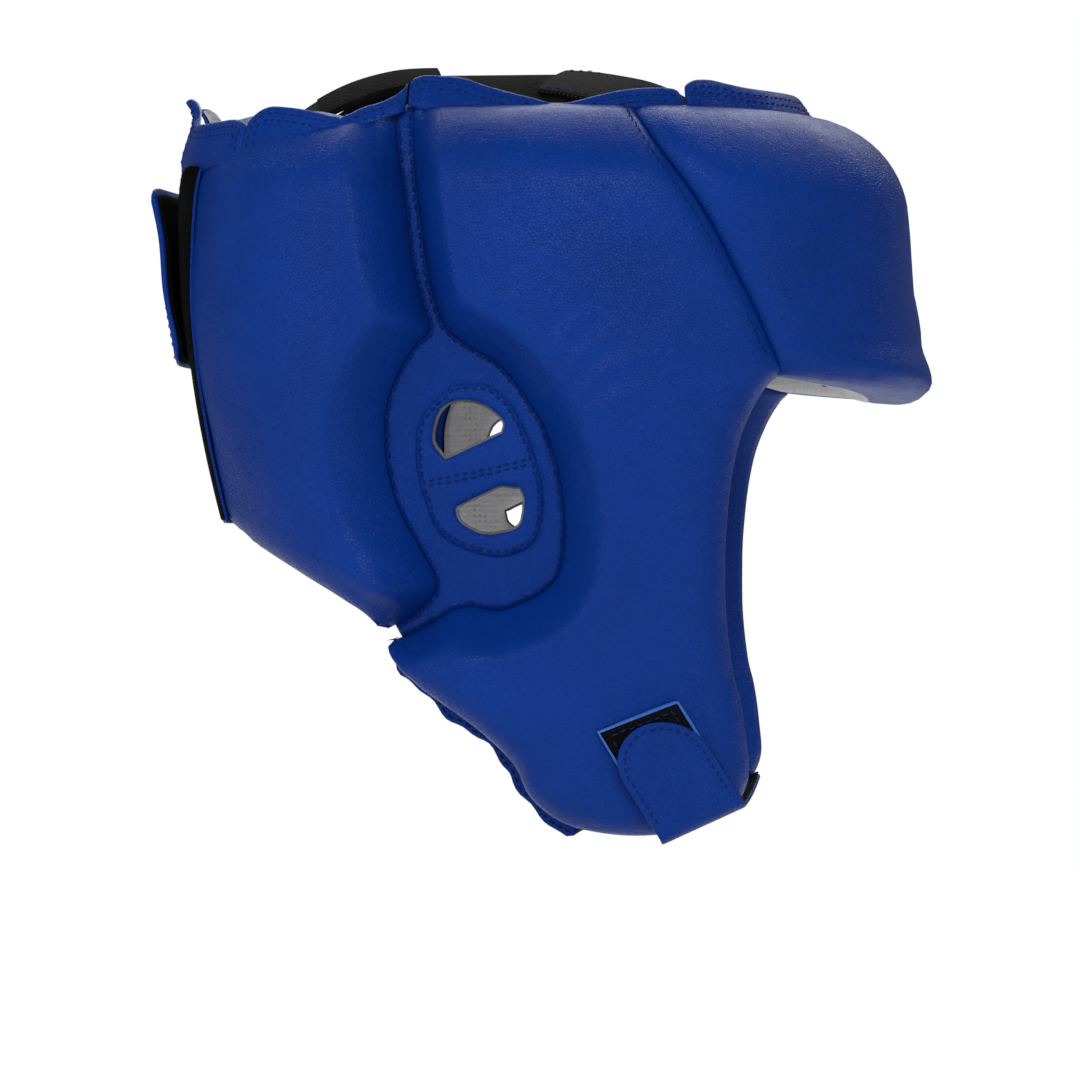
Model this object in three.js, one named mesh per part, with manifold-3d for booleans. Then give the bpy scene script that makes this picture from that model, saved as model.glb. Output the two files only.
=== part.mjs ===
// Boxing headgear: padded leather shell with ear openings, crown webbing, rear closure flap, chin strap.
// Millimetres. +X is the face, +Y is the wearer's left, +Z is up.
// Origin: centre of the head, midway between the ears.
import * as THREE from 'three';
import { mergeVertices } from 'three/addons/utils/BufferGeometryUtils.js';
import Module from 'manifold-3d';

const wasm = await Module();
wasm.setup();

// ---------------------------------------------------------------- driving dimensions
const HEAD_FRONT = 108;
const HEAD_BACK = 82;
const HEAD_SIDE = 80;
const HEAD_TOP = 135;
const CROWN_FROM = 20;
const CROWN_WEB = { z: 132.5, flat: 30, cross: 0.0055, front: 0.005, rear: 0.009 };
const CROWN_POWER = 5;
const FRONT_POWER = 2.4;
const BACK_POWER = 2.6;
const JAW_TAPER = { front: 0.1, side: 0.22 };
const NAPE_TAPER = 0.16;

const PAD = 24;
const BROW_EXTRA = 8;
const BROW_SLANT = 4.6;
const REAR_LESS = 2;
const PAD_TOP_Z = 115;
const PAD_ROUND_Z = 86;
const PAD_EDGE = 5;
const GAP = 0.3;
const LINING = 1.0;
const SKIN = 1.6;
const COVER_BASE = LINING + GAP;
const LEATHER = 2.0;
const TAB_BOTTOM_Z = 115.5;
const REAR_GAP = 10;

const GRID_DEGREES = 13;
const PAD_ROWS = [-124, -92, -60, -28, 4, 36, 64, 86, 97, 106, 111.5, PAD_TOP_Z];

const WEBBING = 1.3;

const BLUE = 0x0a2f8c;
const BLACK = 0x101114;
const GREY = 0xb9bcc0;
const PALE_BLUE = 0x6f8fc8;

// ---------------------------------------------------------------- side view outlines, [x, z]
const BROW_SEAM = [
  [38.8, 140], [38.8, 125], [49.8, 109], [65.9, 86.5], [79.4, 62], [90.2, 39], [93.5, 32],
];
const FACE_EDGE = [
  [86.7, 25], [80.6, 12.7], [77.4, 0], [74.9, -31], [75.3, -47], [79.3, -72], [81.7, -98],
];
const JAW_EDGE = [
  [76, -108], [64, -113], [50, -115], [36, -114], [24, -111], [14.5, -102], [11.6, -94],
  [-0.9, -81.6], [-13.4, -72.3], [-23, -61.3],
];
const EAR_FRONT_LINE = [
  [-23.2, 140], [-22.9, 116], [-21.5, 94.7], [-19, 75.7], [-16.6, 59.7], [-13, 45.8], [-3.8, 39],
  [5.7, 33], [13.6, 23.6], [19.9, 12.7], [24.5, -3], [25.8, -18.7], [24.2, -31.5], [19.5, -37.7],
  [11.6, -42], [5, -44.6], [-4.3, -43], [-10.8, -44.6], [-17.3, -49], [-24, -54.5],
];
const EAR_REAR_LINE = [
  [-28.7, 140], [-28.5, 114.5], [-27.3, 101], [-24.6, 85], [-22.3, 66], [-18, 48], [-16.4, 44],
  [-20.7, 40], [-26.3, 31.5], [-30.2, 22], [-31.2, 13], [-30.3, 0], [-26.7, -12.5], [-20, -25],
  [-14.4, -34.6], [-15.6, -41], [-22.4, -48], [-27, -51.5],
];
const REAR_LOWER_EDGE = [[-36, -44], [-54, -34.7], [-71, -24], [-83, -14], [-130, -14]];
const BROW_LOWER_EDGE = [[100, 29.5], [116, 27.5], [134, 23.5], [150, 21]];
const UPPER_EAR_HOLE = [
  [-15.7, 9.6], [-13.2, 19], [-6.9, 21.9], [1, 20.5], [6.5, 15.9], [6.5, 11.6], [-11.7, 3.3],
];
const LOWER_EAR_HOLE = [
  [-8.7, -11.5], [5.6, -4.7], [12, -5.3], [13.3, -9.3], [11.8, -17.2], [5.5, -19.8], [-0.9, -19.8],
  [-7.3, -16.1],
];
const EAR_PATCH_CENTRE = [-1, 0];
const EAR_PATCH_RADII = [19.5, 26.5];
const EAR_PATCH_LEAN = 0.2;
const EAR_PATCH_THICK = 1.2;
const CHIN_PATCH = [[37.3, -82.8], [63.9, -72.2], [80.4, -99], [46, -104]];
const STRAP_FOLD = [[57.5, -116.4], [82.5, -104.6]];

// ---------------------------------------------------------------- head form
const clamp = (v, lo, hi) => Math.min(hi, Math.max(lo, v));
const radians = (degrees) => (degrees * Math.PI) / 180;

// Half axes of the head's section at height z.
function section(z) {
  const climb = clamp((z - CROWN_FROM) / (HEAD_TOP - CROWN_FROM), 0, 0.999);
  const crown = (1 - climb ** CROWN_POWER) ** (1 / CROWN_POWER);
  const jaw = clamp((20 - z) / 135, 0, 2);
  const nape = clamp((60 - z) / 75, 0, 2.2);
  return {
    front: HEAD_FRONT * crown * (1 - JAW_TAPER.front * jaw),
    back: HEAD_BACK * crown * (1 - NAPE_TAPER * nape ** 1.6),
    side: HEAD_SIDE * crown * (1 - JAW_TAPER.side * jaw ** 1.5),
  };
}

function headPoint(angle, z) {
  const s = section(z);
  const c = Math.cos(angle);
  const power = c > 0 ? FRONT_POWER : BACK_POWER;
  const along = Math.abs(c) / (c > 0 ? s.front : s.back);
  const across = Math.abs(Math.sin(angle)) / s.side;
  const r = (along ** power + across ** power) ** (-1 / power);
  return new THREE.Vector3(r * c, r * Math.sin(angle), z);
}

// Point at a given distance outside the head form.
function skin(angle, z, offset) {
  const step = 0.002;
  const p = headPoint(angle, z);
  const around = headPoint(angle + step, z).sub(headPoint(angle - step, z));
  const upward = headPoint(angle, z + 0.1).sub(headPoint(angle, z - 0.1));
  return p.addScaledVector(around.cross(upward).normalize(), offset);
}

// Height of the webbing over the crown: round from ear to ear, and falling off past its flat middle.
function crownHeight(x, y) {
  const past = Math.max(0, Math.abs(x) - CROWN_WEB.flat);
  const fall = x < 0 ? CROWN_WEB.rear : CROWN_WEB.front;
  return CROWN_WEB.z - CROWN_WEB.cross * y ** 2 - fall * past ** 2;
}

function padThickness(angle, z) {
  const c = Math.cos(angle);
  const brow = BROW_EXTRA * clamp((z + 10) / 30, 0, 1) - BROW_SLANT * clamp((z - 36) / 24, 0, 1);
  const full = PAD + brow * Math.max(0, c) ** 4 - REAR_LESS * Math.max(0, -c);
  const t = clamp((z - PAD_ROUND_Z) / (PAD_TOP_Z - PAD_ROUND_Z), 0, 1);
  const squareness = 1.6 + 0.8 * clamp((-c - 0.6) / 0.3, 0, 1);
  return Math.max(PAD_EDGE, full * (1 - t ** squareness) ** (1 / squareness));
}

// ---------------------------------------------------------------- closed bodies
// Closed body between two faces given on the same grid of columns and rows.
function gridBody(columns, rows, innerPoint, outerPoint) {
  const positions = [];
  const faces = [];
  const nu = columns.length;
  const nv = rows.length;
  for (const pointAt of [innerPoint, outerPoint]) {
    for (const v of rows) {
      for (const u of columns) {
        positions.push(...pointAt(u, v).toArray());
      }
    }
  }
  const id = (side, i, j) => side * nu * nv + j * nu + i;
  const quad = (a, b, c, d) => faces.push(a, b, c, a, c, d);
  for (let j = 0; j + 1 < nv; j += 1) {
    for (let i = 0; i + 1 < nu; i += 1) {
      quad(id(1, i, j), id(1, i + 1, j), id(1, i + 1, j + 1), id(1, i, j + 1));
      quad(id(0, i, j), id(0, i, j + 1), id(0, i + 1, j + 1), id(0, i + 1, j));
    }
  }
  for (let i = 0; i + 1 < nu; i += 1) {
    quad(id(0, i, 0), id(0, i + 1, 0), id(1, i + 1, 0), id(1, i, 0));
    quad(id(0, i + 1, nv - 1), id(0, i, nv - 1), id(1, i, nv - 1), id(1, i + 1, nv - 1));
  }
  for (let j = 0; j + 1 < nv; j += 1) {
    quad(id(0, 0, j + 1), id(0, 0, j), id(1, 0, j), id(1, 0, j + 1));
    quad(id(0, nu - 1, j), id(0, nu - 1, j + 1), id(1, nu - 1, j + 1), id(1, nu - 1, j));
  }
  const geometry = new THREE.BufferGeometry();
  geometry.setAttribute('position', new THREE.Float32BufferAttribute(positions, 3));
  geometry.setIndex(faces);
  return geometry;
}

function solid(geometry) {
  const clean = geometry.clone();
  clean.deleteAttribute('normal');
  clean.deleteAttribute('uv');
  const merged = mergeVertices(clean, 1e-4);
  return new wasm.Manifold(new wasm.Mesh({
    numProp: 3,
    vertProperties: new Float32Array(merged.attributes.position.array),
    triVerts: new Uint32Array(merged.index.array),
  }));
}

function geometryOf(manifold) {
  const mesh = manifold.getMesh();
  const geometry = new THREE.BufferGeometry();
  geometry.setAttribute('position', new THREE.Float32BufferAttribute(Array.from(mesh.vertProperties), 3));
  geometry.setIndex(Array.from(mesh.triVerts));
  return geometry;
}

function mirrored(geometry) {
  const copy = geometry.clone();
  copy.scale(1, -1, 1);
  const index = Array.from(copy.index.array);
  for (let i = 0; i < index.length; i += 3) {
    [index[i + 1], index[i + 2]] = [index[i + 2], index[i + 1]];
  }
  copy.setIndex(index);
  return copy;
}

// Layer of the head form between two offsets, over a range of angles in degrees.
// Spare columns carry it past both ends, for a cavity that runs out of its body.
function layer(fromDegrees, toDegrees, rows, innerOffset, outerOffset, spare = 0) {
  const count = Math.max(2, Math.round((toDegrees - fromDegrees) / GRID_DEGREES));
  const columns = [];
  for (let i = -spare; i <= count + spare; i += 1) {
    columns.push(radians(fromDegrees + ((toDegrees - fromDegrees) * i) / count));
  }
  return solid(gridBody(
    columns,
    rows,
    (angle, z) => skin(angle, z, innerOffset(angle, z)),
    (angle, z) => skin(angle, z, outerOffset(angle, z)),
  ));
}

// Prism of a side view outline, from one y to a lower y.
function sidePrism(outline, yHigh, yLow) {
  const shape = new THREE.Shape(outline.map(([x, z]) => new THREE.Vector2(x, z)));
  const geometry = new THREE.ExtrudeGeometry(shape, { depth: yHigh - yLow, bevelEnabled: false });
  geometry.rotateX(Math.PI / 2);
  geometry.translate(0, yHigh, 0);
  return solid(geometry);
}

// Outline moved inwards by a distance, with mitred corners.
function inset(outline, distance) {
  const n = outline.length;
  let area = 0;
  for (let i = 0; i < n; i += 1) {
    const [x0, y0] = outline[i];
    const [x1, y1] = outline[(i + 1) % n];
    area += x0 * y1 - x1 * y0;
  }
  const turn = Math.sign(area);
  return outline.map(([x, y], i) => {
    const [px, py] = outline[(i + n - 1) % n];
    const [qx, qy] = outline[(i + 1) % n];
    const before = new THREE.Vector2(x - px, y - py).normalize();
    const after = new THREE.Vector2(qx - x, qy - y).normalize();
    const nb = new THREE.Vector2(-before.y, before.x).multiplyScalar(turn);
    const na = new THREE.Vector2(-after.y, after.x).multiplyScalar(turn);
    const mitre = nb.add(na);
    const scale = (2 * distance) / Math.max(1, mitre.lengthSq());
    return [x + mitre.x * scale, y + mitre.y * scale];
  });
}

// ---------------------------------------------------------------- the assembly
const group = new THREE.Group();
group.name = 'boxing_headgear';

function place(name, geometry, color, roughness) {
  const flat = geometry.toNonIndexed();
  flat.computeVertexNormals();
  const mesh = new THREE.Mesh(flat, new THREE.MeshStandardMaterial({ color, roughness }));
  mesh.name = name;
  group.add(mesh);
}

function placePair(name, geometry, color, roughness) {
  place(`${name}_right`, geometry, color, roughness);
  place(`${name}_left`, mirrored(geometry), color, roughness);
}

const constant = (value) => () => value;
const topRows = (limit) => [...PAD_ROWS.filter((z) => z < limit - 1), limit];

// Cover, foam and lining of one pad. The cover is a tray over the foam; the lining closes it.
function padLayers(fromDegrees, toDegrees, outline, yHigh, yLow, cutBack) {
  const prism = (distance) => (
    sidePrism(inset(outline, distance + GAP / 2), yHigh - cutBack * distance, yLow)
  );
  const outer = layer(fromDegrees, toDegrees, PAD_ROWS, constant(COVER_BASE), padThickness);
  const cavity = layer(
    fromDegrees, toDegrees, topRows(PAD_TOP_Z - SKIN), constant(0.4),
    (angle, z) => padThickness(angle, z) - SKIN, 1,
  );
  const filling = layer(
    fromDegrees, toDegrees, topRows(PAD_TOP_Z - SKIN - GAP), constant(COVER_BASE),
    (angle, z) => padThickness(angle, z) - SKIN - GAP,
  );
  const backing = layer(fromDegrees, toDegrees, PAD_ROWS, constant(0), constant(LINING));
  return {
    cover: outer.intersect(prism(0)).subtract(cavity.intersect(prism(SKIN))),
    foam: filling.intersect(prism(SKIN + GAP)),
    lining: backing.intersect(prism(0)),
  };
}

const LEATHER_ROUGH = 0.45;
const CLOTH_ROUGH = 0.9;

function placePad(name, layers) {
  place(`${name}_cover`, geometryOf(layers.cover), BLUE, LEATHER_ROUGH);
  place(`${name}_foam`, geometryOf(layers.foam), BLACK, CLOTH_ROUGH);
  place(`${name}_lining`, geometryOf(layers.lining), GREY, CLOTH_ROUGH);
}

function placePadPair(name, layers) {
  placePair(`${name}_cover`, geometryOf(layers.cover), BLUE, LEATHER_ROUGH);
  placePair(`${name}_foam`, geometryOf(layers.foam), BLACK, CLOTH_ROUGH);
  placePair(`${name}_lining`, geometryOf(layers.lining), GREY, CLOTH_ROUGH);
}

// ---------------------------------------------------------------- forehead, side and rear pads
const FAR = 150;
const SIDE_RANGE = [-115, -20];
const REAR_RANGE = [-180, -98];
const SIDE_STEP = (SIDE_RANGE[1] - SIDE_RANGE[0]) / 7;
const REAR_STEP = (REAR_RANGE[1] - REAR_RANGE[0]) / 6;

const foreheadOutline = [...BROW_SEAM, ...BROW_LOWER_EDGE, [FAR, 140]];
placePad('forehead', padLayers(-75, 75, foreheadOutline, FAR, -FAR, 0));

const sideOutline = [
  ...EAR_FRONT_LINE,
  ...[...JAW_EDGE].reverse(),
  ...[...FACE_EDGE].reverse(),
  ...[...BROW_SEAM].reverse(),
];
placePadPair('side', padLayers(...SIDE_RANGE, sideOutline, 0, -FAR, 0));

const rearOutline = [...EAR_REAR_LINE, ...REAR_LOWER_EDGE, [-130, 140]];
placePadPair('rear', padLayers(...REAR_RANGE, rearOutline, -REAR_GAP, -FAR, 1));

// ---------------------------------------------------------------- flat ear zone
const earOutline = inset([...EAR_FRONT_LINE, ...[...EAR_REAR_LINE].reverse()], GAP / 2);
const earHoles = [UPPER_EAR_HOLE, LOWER_EAR_HOLE].map((hole) => sidePrism(hole, 0, -FAR));
const EAR_RANGE = [-120, -66];

function earLayer(outline, innerOffset, outerOffset) {
  const body = layer(...EAR_RANGE, PAD_ROWS, constant(innerOffset), constant(outerOffset));
  const sheet = body.intersect(sidePrism(outline, 0, -FAR));
  return earHoles.reduce((rest, hole) => rest.subtract(hole), sheet);
}

const patchOutline = [];
for (let i = 0; i < 16; i += 1) {
  const turn = (i / 16) * 2 * Math.PI;
  const up = EAR_PATCH_RADII[1] * Math.sin(turn);
  const along = EAR_PATCH_RADII[0] * Math.cos(turn) - EAR_PATCH_LEAN * up;
  patchOutline.push([EAR_PATCH_CENTRE[0] + along, EAR_PATCH_CENTRE[1] + up]);
}
const earTop = COVER_BASE + SKIN;
placePair('ear_lining', geometryOf(earLayer(earOutline, 0, LINING)), GREY, CLOTH_ROUGH);
placePair('ear_panel', geometryOf(earLayer(earOutline, COVER_BASE, earTop)), BLUE, LEATHER_ROUGH);
const earPatch = earLayer(patchOutline, earTop + GAP, earTop + GAP + EAR_PATCH_THICK);
placePair('ear_patch', geometryOf(earPatch), BLUE, LEATHER_ROUGH);

// ---------------------------------------------------------------- crown edge tabs
// Thin petal with a rounded top edge; lean moves its highest point towards one end.
function tab(fromDegrees, toDegrees, peak, lean) {
  const columns = [];
  for (let i = 0; i <= 6; i += 1) {
    columns.push(i / 6);
  }
  const spot = (offset) => (u, v) => {
    const bulge = (1 - Math.abs(2 * u ** lean - 1) ** 3) ** 0.5;
    const topZ = TAB_BOTTOM_Z + 1.2 + (peak - TAB_BOTTOM_Z - 1.2) * bulge;
    const z = TAB_BOTTOM_Z + v * (topZ - TAB_BOTTOM_Z);
    return skin(radians(fromDegrees + (toDegrees - fromDegrees) * u), z, offset);
  };
  return gridBody(columns, [0, 1], spot(COVER_BASE), spot(COVER_BASE + LEATHER));
}

// Petal that stands upright on the rear pad's outer face. Stations are [degrees, foot, top], where the foot
// is the height of the head form behind it.
function standingTab(stations, lean) {
  const spot = (offset) => (u, v) => {
    const [degrees, foot, top] = stations[u];
    const angle = radians(degrees);
    const base = skin(angle, foot, padThickness(angle, foot) + 2 * GAP + offset);
    const out = base.clone().sub(headPoint(angle, foot)).setZ(0).normalize();
    const rise = v * (top - base.z);
    return base.addScaledVector(out, lean * rise).setZ(base.z + rise);
  };
  return gridBody(stations.map((_, i) => i), [0, 0.5, 1], spot(0), spot(LEATHER));
}

placePair('front_tab', tab(-44.5, -1, 124.5, 1.9), BLUE, LEATHER_ROUGH);
placePair('temple_tab', tab(-72, -46, 121.5, 0.9), BLUE, LEATHER_ROUGH);
placePair('side_tab', tab(-108, -73.5, 125.5, 1.5), BLUE, LEATHER_ROUGH);
placePair('seam_tab', tab(-120.5, -109.5, 121, 0.6), BLUE, LEATHER_ROUGH);
placePair('rear_tab', standingTab([
  [-138, 99, 113], [-134.5, 99.5, 116], [-129, 101, 115], [-125, 103, 114], [-121.5, 104, 113],
], -0.4), BLUE, LEATHER_ROUGH);
placePair('back_tab', standingTab([
  [-172, 96.5, 122], [-166, 96.5, 117], [-158, 96.5, 114.5], [-149, 97, 113.5], [-139, 98.5, 112.5],
], 0.1), BLUE, LEATHER_ROUGH);

// ---------------------------------------------------------------- crown webbing
const CROWN_PANEL = [24, 52];
const CROWN_LIFT = 1.6;
const ARM_WIDTH = 25;
const FOOT_LENGTH = 8;
const FOOT_GAP = 1.1;

function crownPoint(x, y, lift) {
  return new THREE.Vector3(x, y, crownHeight(x, y) + lift);
}

// Strip over the crown along a plan path of [x, y, lift] stations. A foot { degrees, z, turn } carries it
// down the inside of the pads, where turn gives the side that its columns run to.
function crownStrip(stations, thickness, foot) {
  const [x0, y0] = stations[0];
  const [x1, y1] = stations[stations.length - 1];
  const across = new THREE.Vector2(y0 - y1, x1 - x0).normalize();
  const radius = Math.hypot(x0, y0);
  const spot = (extra) => (u, v) => {
    if (v < 0) {
      const angle = radians(foot.degrees) + (foot.turn * u) / radius;
      return skin(angle, foot.z + (v + 1) * FOOT_LENGTH, extra - thickness - FOOT_GAP);
    }
    const [x, y, lift] = stations[v];
    return crownPoint(x - across.x * u, y - across.y * u, lift + extra);
  };
  const columns = [-ARM_WIDTH / 2, -ARM_WIDTH / 6, ARM_WIDTH / 6, ARM_WIDTH / 2];
  const rows = [...(foot ? [-2, -1] : []), ...stations.map((_, i) => i)];
  return gridBody(columns, rows, spot(0), spot(thickness));
}

const panelColumns = [-1, -0.5, 0, 0.5, 1];
const panelRows = [-1, -0.75, -0.5, -0.25, 0, 0.25, 0.5, 0.75, 1];
place('crown_panel', gridBody(
  panelColumns.map((u) => u * CROWN_PANEL[0]),
  panelRows.map((v) => v * CROWN_PANEL[1]),
  (x, y) => crownPoint(x, y, -0.3),
  (x, y) => crownPoint(x, y, 0.9),
), BLACK, CLOTH_ROUGH);

const frontArm = crownStrip([
  [60, -47.3, -1.5], [50, -44, -0.6], [42, -41.4, 0], [34, -38.8, 0.8],
  [27, -36.5, CROWN_LIFT], [18, -33.6, CROWN_LIFT],
], WEBBING, { degrees: -34.6, z: 107, turn: 1 });
placePair('front_arm', frontArm, BLACK, CLOTH_ROUGH);
const armBase = crownStrip([
  [-65, -37, 0], [-58.3, -35.7, 0],
], WEBBING, { degrees: -151.5, z: 109, turn: 1 });
placePair('arm_base', armBase, BLACK, CLOTH_ROUGH);
const rearArm = crownStrip([
  [-58, -35.6, 0], [-51, -34.2, 0], [-44, -32.8, 0.2], [-36, -31.3, 0.8],
  [-28, -29.7, CROWN_LIFT], [-19.5, -28, CROWN_LIFT],
], 2.1);
placePair('rear_arm', rearArm, BLACK, CLOTH_ROUGH);

// ---------------------------------------------------------------- chin closure
const JAW_ROWS = PAD_ROWS.filter((z) => z <= -28);
const CHIN_RANGE = [SIDE_RANGE[1] - 4 * SIDE_STEP, SIDE_RANGE[1]];
const PATCH = 1.2;
const HOOK = 1.2;
const TIP_LENGTH = 36;

function onCheek(outline, innerOffset, thickness) {
  const body = layer(
    ...CHIN_RANGE, JAW_ROWS,
    (angle, z) => padThickness(angle, z) + innerOffset,
    (angle, z) => padThickness(angle, z) + innerOffset + thickness,
  );
  return body.intersect(sidePrism(outline, 0, -FAR));
}

place('cheek_patch', geometryOf(onCheek(CHIN_PATCH, GAP, PATCH)), BLACK, CLOTH_ROUGH);
const trim = onCheek(inset(CHIN_PATCH, -2), GAP, PATCH);
const trimWindow = sidePrism(inset(CHIN_PATCH, -GAP), 0, -FAR);
place('cheek_patch_trim', geometryOf(trim.subtract(trimWindow)), PALE_BLUE, LEATHER_ROUGH);

const foldStart = new THREE.Vector2(...STRAP_FOLD[0]);
const foldEnd = new THREE.Vector2(...STRAP_FOLD[1]);
const foldLength = foldStart.distanceTo(foldEnd);
const foldWay = foldEnd.clone().sub(foldStart).normalize();
const upWay = new THREE.Vector2(-foldWay.y, foldWay.x);
const onStrap = (s, t) => (
  foldStart.clone().addScaledVector(foldWay, s).addScaledVector(upWay, t).toArray()
);

const tipOutline = [onStrap(0, GAP), onStrap(foldLength, GAP)];
for (let i = 0; i <= 8; i += 1) {
  const turn = (i / 8) * Math.PI;
  const rise = TIP_LENGTH - foldLength / 2 + (foldLength / 2) * Math.sin(turn);
  tipOutline.push(onStrap((foldLength / 2) * (1 + Math.cos(turn)), rise));
}
const tipBase = GAP + PATCH + GAP;
place('strap_tip_hook', geometryOf(onCheek(tipOutline, tipBase, HOOK)), BLACK, CLOTH_ROUGH);
place('strap_tip', geometryOf(onCheek(tipOutline, tipBase + HOOK + GAP, LEATHER)), BLUE, LEATHER_ROUGH);

const ANCHOR_LENGTH = 25;
const anchorOutline = [
  onStrap(0, GAP), onStrap(foldLength, GAP),
  onStrap(foldLength, ANCHOR_LENGTH), onStrap(0, ANCHOR_LENGTH),
];
place('chin_anchor', mirrored(geometryOf(onCheek(anchorOutline, GAP, LEATHER))), BLUE, LEATHER_ROUGH);

// Under the chin the strap runs straight across, with its ends along the two cheeks.
const STRAP_END = [-85.2, -76.3];
function underChin(fromDepth, toDepth) {
  const spot = (depth) => (s, side) => {
    const [x, z] = onStrap(s * foldLength, -depth);
    return new THREE.Vector3(x, side * (STRAP_END[0] + (STRAP_END[1] - STRAP_END[0]) * s), z);
  };
  return gridBody([0, 0.5, 1], [-1, -0.5, 0, 0.5, 1], spot(fromDepth), spot(toDepth));
}
const bandTop = 0.7;
const bandLeather = bandTop + HOOK + GAP;
place('chin_strap_backing', underChin(bandTop, bandTop + HOOK), BLACK, CLOTH_ROUGH);
place('chin_strap', underChin(bandLeather, bandLeather + LEATHER), BLUE, LEATHER_ROUGH);

// ---------------------------------------------------------------- jaw lip
const LIP_WIDTH = 5.5;
const lipFrom = EAR_FRONT_LINE.length;
const lipTo = lipFrom + 8;
const lipOutline = [
  ...inset(sideOutline, -GAP / 2).slice(lipFrom, lipTo),
  ...inset(sideOutline, -LIP_WIDTH).slice(lipFrom, lipTo).reverse(),
];
const lipBody = layer(...SIDE_RANGE, JAW_ROWS, constant(COVER_BASE), constant(COVER_BASE + SKIN));
placePair('jaw_lip', geometryOf(lipBody.intersect(sidePrism(lipOutline, 0, -FAR))), BLUE, LEATHER_ROUGH);

// ---------------------------------------------------------------- rear closure
const LOOP_Z = [-13, 96];
const LOOP_ROWS = PAD_ROWS.filter((z) => z >= -28 && z <= 97);
const LOOP_THICK = 2.3;
const LOOP_Y = 8;
const loopBody = layer(
  REAR_RANGE[0] - REAR_STEP, REAR_RANGE[0] + 3 * REAR_STEP, LOOP_ROWS,
  (angle, z) => padThickness(angle, z) + GAP,
  (angle, z) => padThickness(angle, z) + GAP + LOOP_THICK,
);
const behind = ([low, high]) => [[-FAR, low], [0, low], [0, high], [-FAR, high]];
const loopCut = sidePrism(behind(LOOP_Z), LOOP_Y, -46);
place('back_loop_panel', geometryOf(loopBody.intersect(loopCut)), BLACK, CLOTH_ROUGH);

const FLAP_Y = 36;
const FLAP_LENGTH = 74;
const FLAP_Z = [36, 94];
const FLAP_STANDOFF = [100.2, 105, 108.7, 108.3, 105.7];
const FLAP_CURL = [0, 0, 0.6, 3, 7.4];
const HOOK_STATIONS = [2, 3, 4];
function flapLayer(stations, fromOut, toOut) {
  const spot = (out) => (u, v) => new THREE.Vector3(
    -(FLAP_STANDOFF[u] + FLAP_CURL[u] * v + out),
    FLAP_Y - (FLAP_LENGTH * u) / 4,
    FLAP_Z[0] + (FLAP_Z[1] - FLAP_Z[0]) * v,
  );
  return gridBody(stations, [0, 0.5, 1], spot(fromOut), spot(toOut));
}
place('back_flap_hook', flapLayer(HOOK_STATIONS, -GAP - HOOK, -GAP), BLACK, CLOTH_ROUGH);
place('back_flap', flapLayer([0, 1, 2, 3, 4], 0, LEATHER), BLUE, LEATHER_ROUGH);

const baseBody = layer(
  ...REAR_RANGE, PAD_ROWS.filter((z) => z >= 4 && z <= 97),
  (angle, z) => padThickness(angle, z) + GAP,
  (angle, z) => padThickness(angle, z) + GAP + LEATHER,
);
const baseRange = sidePrism(behind(FLAP_Z), -FLAP_Y - 1, -64);
place('flap_base', mirrored(geometryOf(baseBody.intersect(baseRange))), BLUE, LEATHER_ROUGH);

export default group;
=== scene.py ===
import math

import bmesh
import bpy
import numpy as np
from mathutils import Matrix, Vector, noise
from mathutils.geometry import delaunay_2d_cdt


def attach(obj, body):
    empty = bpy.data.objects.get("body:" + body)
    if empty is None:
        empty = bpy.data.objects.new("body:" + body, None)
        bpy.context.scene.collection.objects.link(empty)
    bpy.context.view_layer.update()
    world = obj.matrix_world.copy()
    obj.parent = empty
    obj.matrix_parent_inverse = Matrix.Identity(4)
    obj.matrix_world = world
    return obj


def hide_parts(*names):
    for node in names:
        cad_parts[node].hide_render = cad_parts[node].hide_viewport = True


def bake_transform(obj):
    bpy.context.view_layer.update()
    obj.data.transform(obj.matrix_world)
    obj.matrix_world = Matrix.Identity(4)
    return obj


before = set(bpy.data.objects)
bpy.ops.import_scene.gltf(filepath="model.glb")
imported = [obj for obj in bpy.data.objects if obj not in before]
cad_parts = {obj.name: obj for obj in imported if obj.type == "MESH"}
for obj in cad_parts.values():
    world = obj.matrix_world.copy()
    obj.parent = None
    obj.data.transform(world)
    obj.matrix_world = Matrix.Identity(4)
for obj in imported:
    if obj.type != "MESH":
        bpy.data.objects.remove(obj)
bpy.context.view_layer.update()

# Boxing headgear round a head form: +X is the face, +Y the wearer's left, +Z up. Every length is in
# millimetres until make_object turns it into metres. A place on the head form is (angle, z), with the
# wearer's right at negative angles, and pads are cut out flat in a domain of (angle * SCALE, z).
MM = 0.001

# ------------------------------------------------------------------ camera
VIEW_TURN = math.radians(5.0)
CAMERA_DISTANCE = 1300.0
VIEW_CENTRE = (11.0, -21.9)
FRAME_HALF = 180.9


def add_camera():
    data = bpy.data.cameras.new("camera")
    data.angle = 2 * math.atan(FRAME_HALF / CAMERA_DISTANCE)
    cam = bpy.data.objects.new("camera", data)
    bpy.context.scene.collection.objects.link(cam)
    right = Vector((math.cos(VIEW_TURN), math.sin(VIEW_TURN), 0))
    back = Vector((math.sin(VIEW_TURN), -math.cos(VIEW_TURN), 0))
    centre = right * VIEW_CENTRE[0] + Vector((0, 0, VIEW_CENTRE[1]))
    cam.location = (centre + back * CAMERA_DISTANCE) * MM
    cam.rotation_euler = (math.radians(90), 0, VIEW_TURN)
    bpy.context.scene.camera = cam


add_camera()

# ------------------------------------------------------------------ head form
HEAD_FRONT, HEAD_BACK, HEAD_SIDE, HEAD_TOP = 108.0, 82.0, 80.0, 135.0
CROWN_FROM, CROWN_POWER = 20.0, 5.0
FRONT_POWER, BACK_POWER = 2.4, 2.6
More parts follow.
